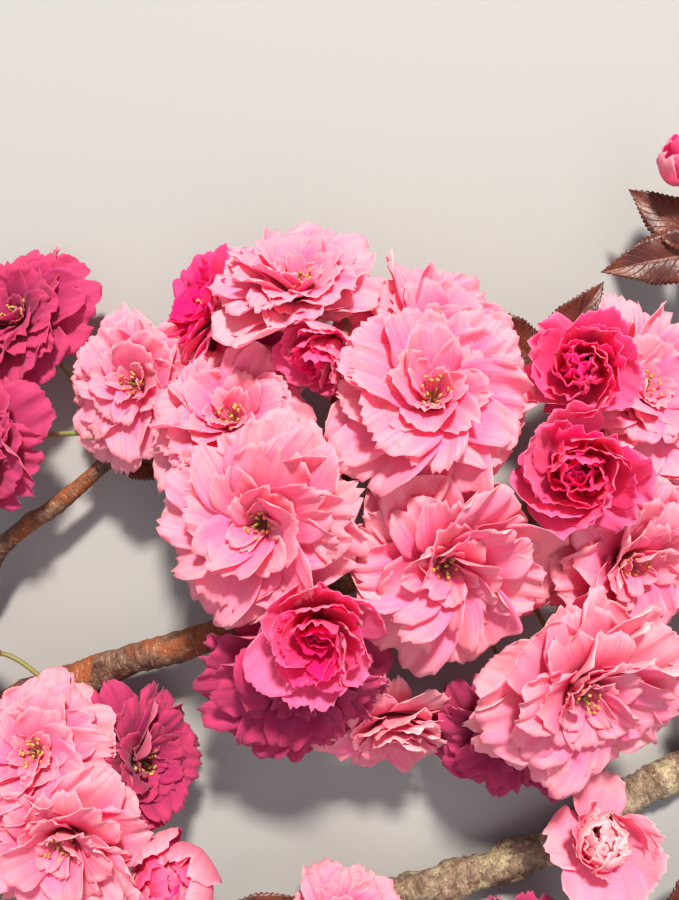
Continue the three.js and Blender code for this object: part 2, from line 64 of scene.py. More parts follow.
# The limbs: route and the radius at each end. Each bark skin runs along one or more of them.
LIMBS = {
    "base_limb": ([(-212, -112, 8.5), (-194, -112, 8.5), (-177, -117, 8.5), (-163, -126, 8.5)], (8.5, 8)),
    "lower_limb_inner": (
        [(-163, -126, 8.5), (-146, -138, 8.3), (-124, -154, 7.8), (-100, -171, 7.5), (-66, -184, 7.5)],
        (7.8, 7),
    ),
    "lower_limb_outer": (
        [(-66, -184, 7.5), (-25, -181, 8), (22, -162, 9), (66, -149, 9), (104, -128, 8), (132, -113, 7),
         (160, -100, 5.4)],
        (7, 5),
    ),
    "upper_limb": (
        [(-182, -116, 8.5), (-148, -107, 11), (-122, -93, 14), (-81, -77, 18), (-42, -64, 21),
         (-3, -47, 22), (34, -33, 21), (72, -20, 19), (106, -9, 17), (132, 2, 15)],
        (6.4, 3.4),
    ),
    "left_twig": (
        [(-130, -97, 13), (-134, -66, 16), (-121, -36, 17), (-97, -17, 17), (-80, -2, 17)],
        (3.6, 2.4),
    ),
    "middle_twig": ([(-6, -48, 22), (1, -20, 25), (2, 4, 26), (-3, 28, 24), (-8, 44, 22)], (3.8, 2.4)),
    "right_twig": ([(120, -3, 16), (132, 20, 17), (136, 42, 18), (129, 64, 19)], (2.8, 2)),
    "lower_twig": ([(80, -143, 9), (98, -158, 9), (111, -173, 10)], (3.4, 2.4)),
}
KNOT_SWELL = 0.09  # as a share of the radius
KNOT_SPACING = 32
KNOB_ROWS = 13  # rows of bark to each old bud scar
BARK_ROW = 1.2  # between two rows of bark
WRINKLE_SPACING = 3.6
TIP_LENGTH = 3.0  # the rounded part at a limb's far end

# Short shoots: the limb they stand on, the foot on its centreline and the way out.
SPURS = {
    "fork": ("upper_limb", (-96, -83, 17), (0.3, -0.6, 0.75)),
    "upper": ("upper_limb", (-14, -52, 22), (-0.1, -0.5, 0.85)),
    "far": ("upper_limb", (42, -30, 21), (0.35, -0.5, 0.8)),
    "crown": ("upper_limb", (84, -16, 18), (0.1, 0.35, 0.9)),
    "end": ("upper_limb", (131, 2, 15), (0.75, -0.35, 0.55)),
    "left": ("left_twig", (-81, -3, 17), (-0.1, 0.7, 0.65)),
    "middle": ("middle_twig", (2, -12, 25.5), (-0.1, 0.25, 0.95)),
    "top": ("middle_twig", (-8, 43, 22), (-0.1, 0.5, 0.85)),
    "right": ("right_twig", (129, 63, 19), (-0.45, 0.65, 0.6)),
    "low_left": ("lower_limb_outer", (-54, -184, 7.6), (0.1, 0.75, 0.65)),
    "low_middle": ("lower_limb_outer", (-12, -177, 8.3), (0.2, 0.6, 0.75)),
    "low_right": ("lower_twig", (110, -172, 10), (0.1, -0.2, 0.95)),
    "low_end": ("lower_limb_outer", (154, -103, 5.8), (0.5, 0.65, 0.5)),
}
SPUR_REACH = 11
SPUR_RADIUS = 3.3
FAN_ANGLE = 52  # between a spur and the stalks that leave its head
STALK_RADII = (0.95, 0.8)  # at the spur and at the calyx
CALYX_RADIUS = 3.4
CALYX_LENGTH = 8
CALYX_PROFILE = ([-1, -0.85, -0.5, -0.1, 0.1], [0.28, 0.44, 0.55, 0.92, 0.8])  # shares of the two
SEPALS = 5
SEPAL_LENGTH = 7.5
SEPAL_BREADTH = 3.0
BUD_SCALES = 8  # round each spur's head
BLADE_THICKNESS = 0.2  # of sepals, bud scales and pistils

# How each kind of bloom opens, ring by ring from the outside in: petals, length as a share of half
# the bloom's width, breadth as a share of that, lean at the root and bend to the tip in degrees.
KINDS = {
    "open": [
        (8, 1.08, 0.82, 68, 40), (8, 1.0, 0.8, 57, 40), (8, 0.88, 0.78, 44, 38), (7, 0.7, 0.76, 30, 34),
        (5, 0.46, 0.62, 16, 26),
    ],
    "cup": [
        (6, 1.26, 0.88, 66, -42), (6, 1.18, 0.82, 54, -40), (6, 1.06, 0.76, 38, -30), (5, 0.88, 0.7, 22, -18),
        (4, 0.68, 0.62, 10, -8),
    ],
    "ball": [
        (6, 1.24, 0.9, 67, -50), (6, 1.16, 0.86, 54, -56), (6, 1.04, 0.82, 40, -62), (6, 0.9, 0.78, 26, -62),
        (5, 0.72, 0.7, 12, -46),
    ],
    "crumpled": [
        (4, 1.24, 1.0, 80, -18), (4, 1.12, 1.0, 66, -66), (5, 1.06, 0.94, 62, -100), (5, 1.0, 0.9, 50, -112),
        (4, 0.9, 0.84, 34, -118),
    ],
    "bud": [
        (5, 1.95, 0.62, 84, -142), (5, 1.8, 0.62, 74, -134), (5, 1.6, 0.6, 60, -118), (4, 1.3, 0.56, 40, -90),
    ],
}

# How deep the pink of a bloom is. Those that aren't named are pale. The rose tone of these blooms is a darker
# copy of the petal colours: painted shade, for blooms that lie in shade.
SHADED_BLOOMS = (
    "bloom_top_shaded", "bloom_right_shaded", "bloom_fork_side", "bloom_left_edge_upper",
    "bloom_left_edge_middle", "bloom_low_right_shaded", "bloom_low_end", "bloom_limb_end",
    "bloom_lower_skirt",
)
DEEP_BLOOMS = (
    "bloom_lower_cup", "bloom_right_bud_upper", "bloom_right_bud_lower", "bud_right_edge",
    "bloom_left_edge_lower", "bloom_low_left_bud", "bloom_top_small", "bloom_top_left",
)

# The blooms: heart, lean (compass way, then degrees from straight up), width across, kind, spur.
BLOOMS = {
    "bloom_top_left": ((-40, 46, 32), (155, 58), 48, "open", "top"),
    "bloom_top": ((-13, 49, 47), (90, 42), 58, "open", "top"),
    "bloom_top_small": ((-2, 33, 55), (225, 50), 30, "cup", "top"),
    "bloom_top_shaded": ((-42, 26, 17), (170, 30), 48, "open", "top"),
    "bloom_top_right": ((29, 36, 40), (75, 34), 58, "open", "top"),
    "bloom_upper_left": ((-33, 8, 48), (110, 28), 57, "open", "middle"),
    "bloom_front_left": ((-23, -22, 60), (190, 14), 66, "open", "middle"),
    "bloom_front_middle": ((28, 15, 60), (78, 17), 66, "open", "middle"),
    "bloom_front_right": ((32, -34, 57), (275, 18), 66, "open", "far"),
    "bloom_lower_cup": ((-6, -53, 62), (250, 12), 40, "cup", "upper"),
    "bloom_lower_skirt": ((-13, -71, 44), (265, 32), 66, "open", "upper"),
    "bloom_lower_back": ((16, -91, 30), (275, 50), 46, "open", "upper"),
    "bloom_right_bud_upper": ((75, 25, 58), (190, 18), 37, "ball", "crown"),
    "bloom_right_pale": ((95, 18, 42), (40, 28), 62, "open", "crown"),
    "bloom_right_bud_lower": ((73, -5, 58), (200, 14), 44, "ball", "crown"),
    "bloom_right_lower": ((91, -35, 44), (312, 27), 60, "open", "crown"),
    "bloom_right_front": ((73, -72, 56), (290, 24), 64, "open", "far"),
    "bloom_right_shaded": ((56, -95, 32), (245, 46), 52, "open", "far"),
    "bloom_left_single": ((-68, 22, 28), (170, 16), 52, "open", "left"),
    "bloom_left_edge_upper": ((-112, 45, 17), (120, 30), 54, "open", "left"),
    "bloom_left_edge_middle": ((-122, 2, 28), (190, 24), 50, "open", "left"),
    "bloom_left_edge_lower": ((-122, -69, 32), (170, 40), 34, "cup", "fork"),
    "bloom_fork_upper": ((-98, -99, 42), (100, 22), 52, "open", "fork"),
    "bloom_fork_side": ((-70, -106, 30), (10, 50), 50, "open", "fork"),
    "bloom_fork_front": ((-88, -122, 46), (270, 18), 58, "open", "fork"),
    "bloom_low_left_bud": ((-55, -144, 34), (80, 20), 37, "bud", "low_left"),
    "bloom_low_middle": ((1, -164, 27), (80, 36), 40, "open", "low_middle"),
    "bloom_low_right_crumpled": ((86, -129, 38), (100, 22), 37, "crumpled", "low_right"),
    "bloom_low_right_shaded": ((70, -171, 20), (230, 40), 40, "open", "low_right"),
    "bud_right_edge": ((118, 93, 30), (110, 40), 20, "bud", "right"),
    "bloom_limb_end": ((138, -34, 34), (320, 30), 52, "open", "end"),
    "bloom_low_end": ((146, -74, 30), (60, 26), 46, "open", "low_end"),
}

# Leaf tufts: foot, spur, and each leaf's compass way, rise in degrees and length.
LEAF_TUFTS = {
    "leaves_top_right": ((68, 26, 36), "crown", [(57, 16, 36), (133, 8, 32)]),
    "leaves_right_edge": ((127, 68, 27), "right", [(190, 8, 38), (138, 2, 36), (50, -24, 46)]),
    "leaves_left": ((-78, -1, 27), "left", [(345, 6, 27), (40, -20, 24)]),
    "leaves_low_left": ((-48, -172, 18), "low_left", [(20, 10, 40), (300, 0, 38)]),
    "leaves_low_right": ((114, -168, 18), "low_right", [(40, 16, 44), (350, 10, 40)]),
    "leaves_low_end": ((164, -96, 12), "low_end", [(350, 16, 44), (30, 26, 38)]),
}

GOLDEN_TURN = 2.39996  # between one stamen and the next, in radians
FILAMENT_RADIUS = 0.15
ANTHER_LENGTH = 1.4
ANTHER_RADIUS = 0.48
LEAF_STALK_RADIUS = 0.8
LEAF_THICKNESS = 0.3
LEAF_BREADTH = 0.48  # as a share of its length
LEAF_TEETH = 24
ROWS_PER_TOOTH = 4
LEAF_RIBS = 11  # on each side of the midrib
RIB_SWEEP = 2.6  # how many ribs' spacings a rib moves forward on its way to the margin
LEAF_OUTLINE = ([0, 0.06, 0.2, 0.38, 0.6, 0.8, 0.92, 1], [0.03, 0.2, 0.74, 1, 0.86, 0.46, 0.16, 0.01])

# Blooms that press together meet at a plane, as in the solids.
OVERLAP_LEAN = 2.2  # how much more a difference in height tilts the plane than one in plan
LEAST_SHARE = 0.42  # of the way between the two, that each keeps
PRESS_DEPTH = 3  # how far from the plane petals begin to bend
MOST_PUSH = 0.22  # as a share of a petal's length, before the petal is made smaller
MOST_TRIES = 4  # at making it smaller
PETAL_ROOT_RADIUS = 1.6
LIMB_GAP = 1.2  # from a limb to the petals over it
LIMB_REACH = 45  # limbs further than this from a petal's middle are left out of account

UP = np.array([0.0, 0.0, 1.0])
BLACK = (0.0, 0.0, 0.0, 1.0)

# Slots: the place of each material in the list that a piece is made with.
BARK, CUT_WOOD = 0, 1
INNER_FACE, OUTER_FACE = 0, 1
STALK, CALYX = 0, 1
FILAMENT, ANTHER, PISTIL = 0, 1, 2
LEAF, LEAF_STALK = 0, 1

# The orders of a face's four corners. FRONT and BACK start at the same corner, so a bent face of a
# thin sheet is split into the same two triangles on both sides.
FRONT, BACK, TURNED = (0, 1, 2, 3), (0, 3, 2, 1), (3, 2, 1, 0)


# Sums with places. A place is an array whose last axis is x, y, z in millimetres.

CUT_END = np.array(LIMBS["base_limb"][0][0])
SHIFT = np.array(frame["record"]["mounts"][0]["pos_m"]) / MM - CUT_END  # from plan to frame


def chance(seed, use):
    """A repeatable number from 0 to 1 for a seed and a use. Each use has numbers of its own."""
    wave = math.sin(seed * 12.9898 + use * 78.233) * 43758.5453
    return wave - math.floor(wave)


def unit(way):
    way = np.asarray(way, float)
    return way / np.linalg.norm(way, axis=-1, keepdims=True)


def facing(way, from_up):
    """The unit vector for a compass way in plan and an angle from straight up, in degrees."""
    around, off = math.radians(way), math.radians(from_up)
    return np.array([math.sin(off) * math.cos(around), math.sin(off) * math.sin(around), math.cos(off)])


def mixed(low, high, share):
    return low + (high - low) * share


def smooth(low, high, value):
    share = np.clip((value - low) / (high - low), 0, 1)
    return share * share * (3 - 2 * share)


def turned_to(way):
    """The turn that carries straight up to a unit way by the shortest arc, as a 3 by 3 matrix."""
    axis = np.cross(UP, way)
    cos = float(way[2])
    if cos < -0.999999:
        return np.diag([1.0, -1.0, -1.0])
    cross = np.array([[0, -axis[2], axis[1]], [axis[2], 0, -axis[0]], [-axis[1], axis[0], 0]])
    return np.eye(3) + cross + cross @ cross / (1 + cos)


def way_out(first, second, turn):
    """The way out from an axis, at a turn in radians from the first of two ways across it."""
    return first * np.cos(turn) + second * np.sin(turn)


def full_turn(sides):
    return np.linspace(0, 2 * np.pi, sides, endpoint=False)


def grain(places, size, seed):
    """Smooth noise from -1 to 1 with lumps of a size in millimetres."""
    at = np.asarray(places, float) / size + seed * 17.31
    cell = np.floor(at).astype(np.int64)
    part = at - cell
    part = part * part * (3 - 2 * part)
    total = 0.0
    for corner in range(8):
        step = np.array([corner & 1, corner >> 1 & 1, corner >> 2 & 1])
        key = cell + step
        mess = key[..., 0] * 374761393 + key[..., 1] * 668265263 + key[..., 2] * 2147483647 + seed * 974711
        mess = (mess ^ (mess >> 13)) * 1274126177 & 0x7FFFFFFF
        mess = (mess ^ (mess >> 16)) & 0xFFFF
        weight = np.where(step, part, 1 - part).prod(-1)
        total = total + weight * (mess / 32767.5 - 1)
    return total


def lengths_along(line):
    """How far along a line each of its places is."""
    return np.r_[0, np.cumsum(np.linalg.norm(np.diff(line, axis=0), axis=1))]


def smooth_line(route, spacing):
    """Evenly spaced places on the centripetal curve through a route, as the solids have it."""
    p = np.array(route, float)
    p = np.vstack([2 * p[0] - p[1], p, 2 * p[-1] - p[-2]])
    dense = []
    for a, b, c, d in zip(p, p[1:], p[2:], p[3:]):
        k0, k1, k2 = (max(np.linalg.norm(y - x) ** 0.5, 1e-4) for x, y in ((a, b), (b, c), (c, d)))
        t1 = ((b - a) / k0 - (c - a) / (k0 + k1) + (c - b) / k1) * k1
        t2 = ((c - b) / k1 - (d - b) / (k1 + k2) + (d - c) / k2) * k1
        t = np.linspace(0, 1, 60, endpoint=False)[:, None]
        dense.append(b + t1 * t + (3 * (c - b) - 2 * t1 - t2) * t**2 + (2 * (b - c) + t1 + t2) * t**3)
    dense = np.vstack([*dense, p[-2:-1]])
    along = lengths_along(dense)
    wanted = np.linspace(0, along[-1], max(3, round(along[-1] / spacing) + 1))
    return np.stack([np.interp(wanted, along, dense[:, k]) for k in range(3)], 1), wanted


def frames_along(line):
    """Unit tangents and two steady crosswise directions at each place on a line."""
    tangents = unit(np.gradient(line, axis=0))
    first = np.cross(tangents[0], UP)
    if np.linalg.norm(first) < 0.1:
        first = np.array([1.0, 0, 0])
    firsts = []
    for tangent in tangents:
        first = unit(first - tangent * (first @ tangent))
        firsts.append(first)
    firsts = np.array(firsts)
    return tangents, firsts, np.cross(tangents, firsts)


# Making meshes


def face_corners(values, order=FRONT):
    """What a grid of values holds at the four corners of each of its faces."""
    rows, columns = values.shape[:2]
    corners = [values[:-1, :-1], values[:-1, 1:], values[1:, 1:], values[1:, :-1]]
    ordered = np.stack([corners[k] for k in order], 2)
    return ordered.reshape((rows - 1) * (columns - 1), 4, *values.shape[2:])


def even_square(rows, columns):
    """A grid's places in a square that is 1 wide."""
    return np.stack(np.meshgrid(np.linspace(0, 1, columns), np.linspace(0, 1, rows)), -1)


class Shape:
    """Collects sheets and tubes of faces in the plan frame, and makes one object of them.

    Every sheet keeps its marks, which the material reads, and a square of its own on the map that
    a bake is written to.
    """

    def __init__(self):
        self.places, self.corners, self.sizes, self.marks, self.slots, self.squares = [], [], [], [], [], []
        self.rounded = []
        self.count = 0
        self.sheets = 0

    def add_places(self, places):
        """Adds places and returns the number of the first of them."""
        first = self.count
        self.places.append(places.reshape(-1, 3))
        self.count += len(self.places[-1])
        return first

    def add_faces(self, faces, marks, slot, squares, sheet=None, rounded=True):
        """Adds faces over numbered places. marks and squares are given corner by corner."""
        sheet = self.sheets if sheet is None else sheet
        self.corners.append(faces.reshape(-1))
        self.sizes.append(np.full(len(faces), faces.shape[1]))
        self.marks.append(marks.reshape(-1, 2))
        self.slots.append(np.full(len(faces), slot))
        self.squares.append(np.c_[squares.reshape(-1, 2), np.full(faces.size, sheet)])
        self.rounded.append(np.full(len(faces), rounded))
        self.sheets = max(self.sheets, sheet + 1)

    def tube(self, skin, marks, slot):
        """Adds the wall of a tube over rings of places. marks has one column more than skin."""
        rows, sides = skin.shape[:2]
        index = self.add_places(skin) + np.arange(rows * sides).reshape(rows, sides)
        grids = (np.c_[index, index[:, :1]], marks, even_square(rows, sides + 1))
        faces, marks, squares = (face_corners(values, TURNED) for values in grids)
        self.add_faces(faces, marks, slot, squares)

    def cap(self, ring, middle, marks, middle_mark, slot, flip=False):
        """Closes a ring of places with a fan about a middle."""
        count = len(ring)
        here = np.arange(count)
        after = (here + 1) % count
        centre = np.full(count, count)
        faces = np.stack([after, here, centre] if flip else [here, after, centre], 1)
        all_marks = np.vstack([marks, middle_mark])
        turn = full_turn(count)
        circle = np.vstack([np.c_[0.5 + 0.5 * np.cos(turn), 0.5 + 0.5 * np.sin(turn)], [0.5, 0.5]])
        first = self.add_places(np.vstack([ring, middle]))
        self.add_faces(faces + first, all_marks[faces], slot, circle[faces])

    def ends(self, skin, tips, marks, middle_mark, slots):
        """Closes a tube's first and last rings, each about its tip."""
        self.cap(skin[0], tips[0], marks, middle_mark, slots[0], flip=True)
        self.cap(skin[-1], tips[1], marks, middle_mark, slots[1])

    def shell(self, front, thickness, marks, slots):
        """Adds a sheet with a thickness: its front, its back and the rim that joins them."""
        rows, columns = front.shape[:2]
        across, along = np.gradient(front, axis=1), np.gradient(front, axis=0)
        # The small number gives a corner where the sheet closes up a normal too.
        back = front - unit(np.cross(across, along) + 1e-12) * thickness[..., None]
        index = np.arange(rows * columns).reshape(rows, columns)
        square = even_square(rows, columns)
        front_at, back_at = self.add_places(front), self.add_places(back)
        for order, first, slot in ((FRONT, front_at, slots[0]), (BACK, back_at, slots[1])):
            faces, corner_marks, squares = (face_corners(values, order) for values in (index, marks, square))
            self.add_faces(faces + first, corner_marks, slot, squares)
        edge = np.r_[index[0, :-1], index[:-1, -1], index[-1, :0:-1], index[:0:-1, 0]]
        after = np.roll(edge, -1)
        rim = np.stack([after + front_at, edge + front_at, edge + back_at, after + back_at], 1)
        around = np.stack([after, edge, edge, after], 1)
        marks, square = (values.reshape(-1, 2)[around] for values in (marks, square))
        self.add_faces(rim, marks, slots[0], square, self.sheets - 2, rounded=False)

    def object(self, name, materials, slot):
        """Makes the object, in metres in the frame, riding on the branch."""
        mesh = bpy.data.meshes.new(name)
        places = (np.vstack(self.places) + SHIFT) * MM
        corners, sizes = np.concatenate(self.corners), np.concatenate(self.sizes)
        mesh.vertices.add(len(places))
        mesh.vertices.foreach_set("co", places.astype(np.float32).ravel())
        mesh.loops.add(len(corners))
        mesh.loops.foreach_set("vertex_index", corners.astype(np.int32))
        mesh.polygons.add(len(sizes))
        mesh.polygons.foreach_set("loop_start", np.r_[0, np.cumsum(sizes)[:-1]].astype(np.int32))
        mesh.update(calc_edges=True)
        mesh.polygons.foreach_set("material_index", np.concatenate(self.slots).astype(np.int32))
        mesh.polygons.foreach_set("use_smooth", np.concatenate(self.rounded))
        for map_name, values in (("Marks", np.vstack(self.marks)), ("OFBake", self.bake_map())):
            layer = mesh.uv_layers.new(name=map_name)
            layer.data.foreach_set("uv", values.astype(np.float32).ravel())
        for material in materials:
            mesh.materials.append(material)
        piece = bpy.data.objects.new(name, mesh)
        bpy.context.scene.collection.objects.link(piece)
        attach(piece, BODY)
        return piece

    def bake_map(self):
        """Each sheet's own square, in a grid of squares with a margin between them."""
        squares = np.vstack(self.squares)
        across = math.ceil(math.sqrt(self.sheets))
        sheet = squares[:, 2]
        inner = 0.03 + 0.94 * squares[:, :2]
        return (inner + np.c_[sheet % across, sheet // across]) / across


# Materials


def colour(code):
    """An sRGB hex code as a linear colour with full alpha."""
    values = [int(code.lstrip("#")[k : k + 2], 16) / 255 for k in (0, 2, 4)]
    return (*(v / 12.92 if v <= 0.04045 else ((v + 0.055) / 1.055) ** 2.4 for v in values), 1.0)


def tints(look, *keys):
    """Colour settings, by their names, as linear colours with full alpha."""
    return [(*getattr(look, key), 1.0) for key in keys]


def tint_between(first, second, share):
    return tuple(mixed(a, b, share) for a, b in zip(first, second))


def new_material(name):
    material = bpy.data.materials.new(name)
    material.use_nodes = True
    material.node_tree.nodes.clear()
    return material


def node(material, kind, inputs=(), output=0, stops=(), **settings):
    """Adds a node with its settings, gives its inputs values or links, and returns one output."""
    made = material.node_tree.nodes.new("ShaderNode" + kind)
    for key, value in settings.items():
        setattr(made, key, value)
    for key, value in inputs.items() if isinstance(inputs, dict) else enumerate(inputs):
        if isinstance(value, bpy.types.NodeSocket):
            material.node_tree.links.new(value, made.inputs[key])
        else:
            made.inputs[key].default_value = value
    for count, (place, tint) in enumerate(stops):
        if count > 1:
            made.color_ramp.elements.new(place)
        made.color_ramp.elements[count].position = place
        made.color_ramp.elements[count].color = tint
    return made.outputs[output] if len(made.outputs) else None


def finish_surface(n, inputs, through=None, thin=0.0):
    """Ends a material in its surface, with a share of light let through where it is thin."""
    surface = n("BsdfPrincipled", inputs)
    if through is not None:
        surface = n("MixShader", (thin, surface, n("BsdfTranslucent", {"Color": through})))
    n("OutputMaterial", {"Surface": surface})


def petal_material(name, foot, face, margin, throat, glow, thin, stain):
    """Cherry petal: thin, soft and matt with a velvet bloom, deeper pink at its foot and paler at its
    margin, with fine veins that fan out. The deeper foot is partly painted shade where the petals
    crowd, and the paler margin partly a painted highlight. Light comes through it in a stronger pink."""
    m = new_material(name)
    n = partial(node, m)
    marks = n("SeparateXYZ", (n("UVMap", uv_map="Marks"),)).node.outputs[:2]
    # The whole parts of the marks number the petal and its ring. The rest is the place on the petal.
    petal, ring = (n("Math", (mark,), operation="FLOOR") for mark in marks)
    across, along = (n("Math", (mark,), operation="FRACT") for mark in marks)
    own = n("TexWhiteNoise", {"W": petal}, noise_dimensions="1D")
    # Veins stand about 1 mm apart at the margin, wider than the real ones so that they show.
    fan = n("CombineXYZ", (n("Math", (across, 26.0), operation="MULTIPLY"), along, petal))
    veins = n("TexNoise", {"Vector": fan, "Scale": 1.0, "Detail": 2.0})
    # Cloudy patches are about a third of a petal wide and long.
    patch = [n("Math", (mark, count), operation="MULTIPLY") for mark, count in ((across, 2.4), (along, 2.8))]
    cloud = n("TexNoise", {"Vector": n("CombineXYZ", (*patch, petal)), "Scale": 1.0, "Detail": 3.0})
    place = n("Math", (cloud, 0.7, along), operation="MULTIPLY_ADD")
    place = n("Math", (own, 0.24, place), operation="MULTIPLY_ADD")
    # The deep foot colour is partly painted shade where the petals crowd, and the pale margin colour partly a
    # painted highlight.
    stops = [(0.2, foot), (0.46, tint_between(foot, face, 0.6)), (0.66, face), (0.84, margin)]
    place = n("MapRange", (place, 0.0, 1.6, 0.0, 1.0))
    tint = n("ValToRGB", (place,), stops=stops)
    # Streaks in the veins, paler outer rings and a deeper throat.
    for share, over, blend in (
        (n("MapRange", (veins, 0.45, 0.65, 0.0, 0.36)), foot, "MIX"),
        (n("MapRange", (ring, 0.0, 1.5, 0.45, 0.0)), margin, "MIX"),
        (n("MapRange", (ring, 0.0, 3.0, 0.0, 1.0)), throat, "MULTIPLY"),
    ):
        tint = n("Mix", {0: share, 6: tint, 7: over}, 2, data_type="RGBA", blend_type=blend)
    rough = n("Math", (cloud, 0.2, 0.55), operation="MULTIPLY_ADD")
    bump = n("Bump", {"Strength": 0.45, "Distance": 0.0004, "Height": veins})
    velvet = {"IOR": 1.38, "Specular IOR Level": 0.1, "Sheen Weight": 0.15, "Sheen Roughness": 0.5}
    through = n("Mix", {0: stain, 6: tint, 7: glow}, 2, data_type="RGBA")
    finish_surface(n, {"Base Color": tint, "Roughness": rough, "Normal": bump, **velvet}, through, thin)
    return m


def bark_material(name, ground, pale, peel, lichen, weathered, peeling, lichened):
    """Cherry bark: satin brown skin with pale lenticels that run round the limb, grey weathered
    ridges, dark cracks, coppery patches where it peels, and crusts of yellow-green lichen. Peeling
    and lichened are levels of noise, and the higher each is, the less there is of it."""
    m = new_material(name)
    n = partial(node, m)
    marks = n("UVMap", uv_map="Marks")
    solid = n("TexCoord", output="Object")
    # The marks are centimetres, so a lenticel is about 4 mm round the limb and 1 mm along it.
    stretched = n("Mapping", {0: marks, 3: (2.4, 9.0, 1.0)})
    rings = n("TexNoise", {"Vector": stretched, "Scale": 1.0, "Detail": 3.0, "Roughness": 0.6})
    lump = n("TexNoise", {"Vector": solid, "Scale": 260.0, "Detail": 5.0, "Roughness": 0.62})
    broad = n("TexNoise", {"Vector": solid, "Scale": 45.0, "Detail": 3.0})
    crust = n("TexNoise", {"Vector": solid, "Scale": 85.0, "Detail": 4.0, "Roughness": 0.7})
    fine = n("TexNoise", {"Vector": solid, "Scale": 1400.0, "Detail": 3.0})
    flakes = n("TexVoronoi", {"Vector": solid, "Scale": 620.0, "Randomness": 1.0})
    point = n("NewGeometry", output="Pointiness")
    dark = tint_between(ground, BLACK, 0.7)
    spots = {0: n("MapRange", (flakes, 0.15, 0.55)), 6: lichen, 7: tint_between(lichen, pale, 0.8)}
    tint = ground
    # Weathered lumps, peeling patches, lenticels, lichen, cracks, hollows and worn ridges.
    for share, over in (
        (n("MapRange", (lump, 0.36, 0.64)), tint_between(ground, pale, weathered)),
        (n("MapRange", (broad, peeling, peeling + 0.07)), peel),
        (n("MapRange", (rings, 0.6, 0.66, 0.0, 0.8)), pale),
        (n("MapRange", (crust, lichened, lichened + 0.06)), n("Mix", spots, 2, data_type="RGBA")),
        (n("MapRange", (fine, 0.5, 0.32, 0.0, 0.6)), dark),
        (n("MapRange", (point, 0.5, 0.42, 0.0, 0.8)), dark),
        (n("MapRange", (point, 0.52, 0.6, 0.0, 0.5)), pale),
    ):
        tint = n("Mix", {0: share, 6: tint, 7: over}, 2, data_type="RGBA")
    height = rings
    for bumps, share in ((lump, 0.8), (fine, 0.3), (flakes, 0.3)):
        height = n("Math", (bumps, share, height), operation="MULTIPLY_ADD")
    bump = n("Bump", {"Strength": 1.0, "Distance": 0.0008, "Height": height})
    rough = n("Math", (lump, 0.35, 0.5), operation="MULTIPLY_ADD")
    finish_surface(n, {"Base Color": tint, "Roughness": rough, "Normal": bump, "IOR": 1.45})
    return m


def cut_wood_material(name, heart, sap):
    """Fresh-cut cherry wood: pale, with warm yearly rings and a darker heart."""
    m = new_material(name)
    n = partial(node, m)
    marks = n("UVMap", uv_map="Marks")
    radius = n("VectorMath", (marks,), 1, operation="LENGTH")
    uneven, fine = (n("TexNoise", {"Vector": marks, "Scale": scale}) for scale in (3.0, 9.0))
    wobble = n("Math", (uneven, 0.08, radius), operation="MULTIPLY_ADD")
    # The marks are centimetres, so the rings are 1.5 mm apart.
    ring = n("Math", (n("Math", (wobble, 42.0), operation="MULTIPLY"),), operation="SINE")
    tint = n("ValToRGB", (radius,), stops=[(0.1, heart), (0.7, sap), (0.9, tint_between(sap, heart, 0.6))])
    tint = n("Mix", {0: n("MapRange", (ring, -1.0, 1.0, 0.0, 0.32)), 6: tint, 7: heart}, 2, data_type="RGBA")
    bump = n("Bump", {"Strength": 0.4, "Distance": 0.0003, "Height": ring})
    rough = n("Math", (fine, 0.3, 0.5), operation="MULTIPLY_ADD")
    finish_surface(n, {"Base Color": tint, "Roughness": rough, "Normal": bump})
    return m


def leaf_material(name, face, rib, glow):
    """Young cherry leaf: thin, bronze and a little glossy, with paler ribs sunk in it that run out
    from the midrib to the teeth."""
    m = new_material(name)
    n = partial(node, m)
    marks = n("SeparateXYZ", (n("UVMap", uv_map="Marks"),))
    side = n("Math", (marks,), operation="ABSOLUTE")
    along = marks.node.outputs[1]
    # Side ribs stand about 3 mm apart and sweep forward to the margin.
    count = n("Math", (along, float(LEAF_RIBS)), operation="MULTIPLY")
    sweep = n("Math", (side, -RIB_SWEEP, count), operation="MULTIPLY_ADD")
    wave = n("Math", (n("Math", (sweep,), operation="FRACT"), 0.5), operation="SUBTRACT")
    ribs = n("MapRange", (n("Math", (wave,), operation="ABSOLUTE"), 0.0, 0.1, 1.0, 0.0))
    lines = n("Math", (ribs, n("MapRange", (side, 0.0, 0.09, 1.0, 0.0))), operation="MAXIMUM")
    solid = n("TexCoord", output="Object")
    cloud = n("TexNoise", {"Vector": solid, "Scale": 130.0, "Detail": 3.0})
    mesh = n("TexNoise", {"Vector": solid, "Scale": 1500.0, "Detail": 2.0})
    flushed = {0: n("MapRange", (cloud, 0.42, 0.72, 0.0, 0.7)), 6: face, 7: glow}
    ribbed = {0: n("Math", (lines, 0.4), operation="MULTIPLY"), 7: rib}
    tint = n("Mix", {**ribbed, 6: n("Mix", flushed, 2, data_type="RGBA")}, 2, data_type="RGBA")
    sunk = n("Math", (lines, -1.0), operation="MULTIPLY")
    height = n("Math", (mesh, 0.35, sunk), operation="MULTIPLY_ADD")
    bump = n("Bump", {"Strength": 0.6, "Distance": 0.0005, "Height": height})
    rough = n("Math", (mesh, 0.25, 0.28), operation="MULTIPLY_ADD")
    finish_surface(n, {"Base Color": tint, "Roughness": rough, "Normal": bump, "IOR": 1.45}, glow, 0.2)
    return m


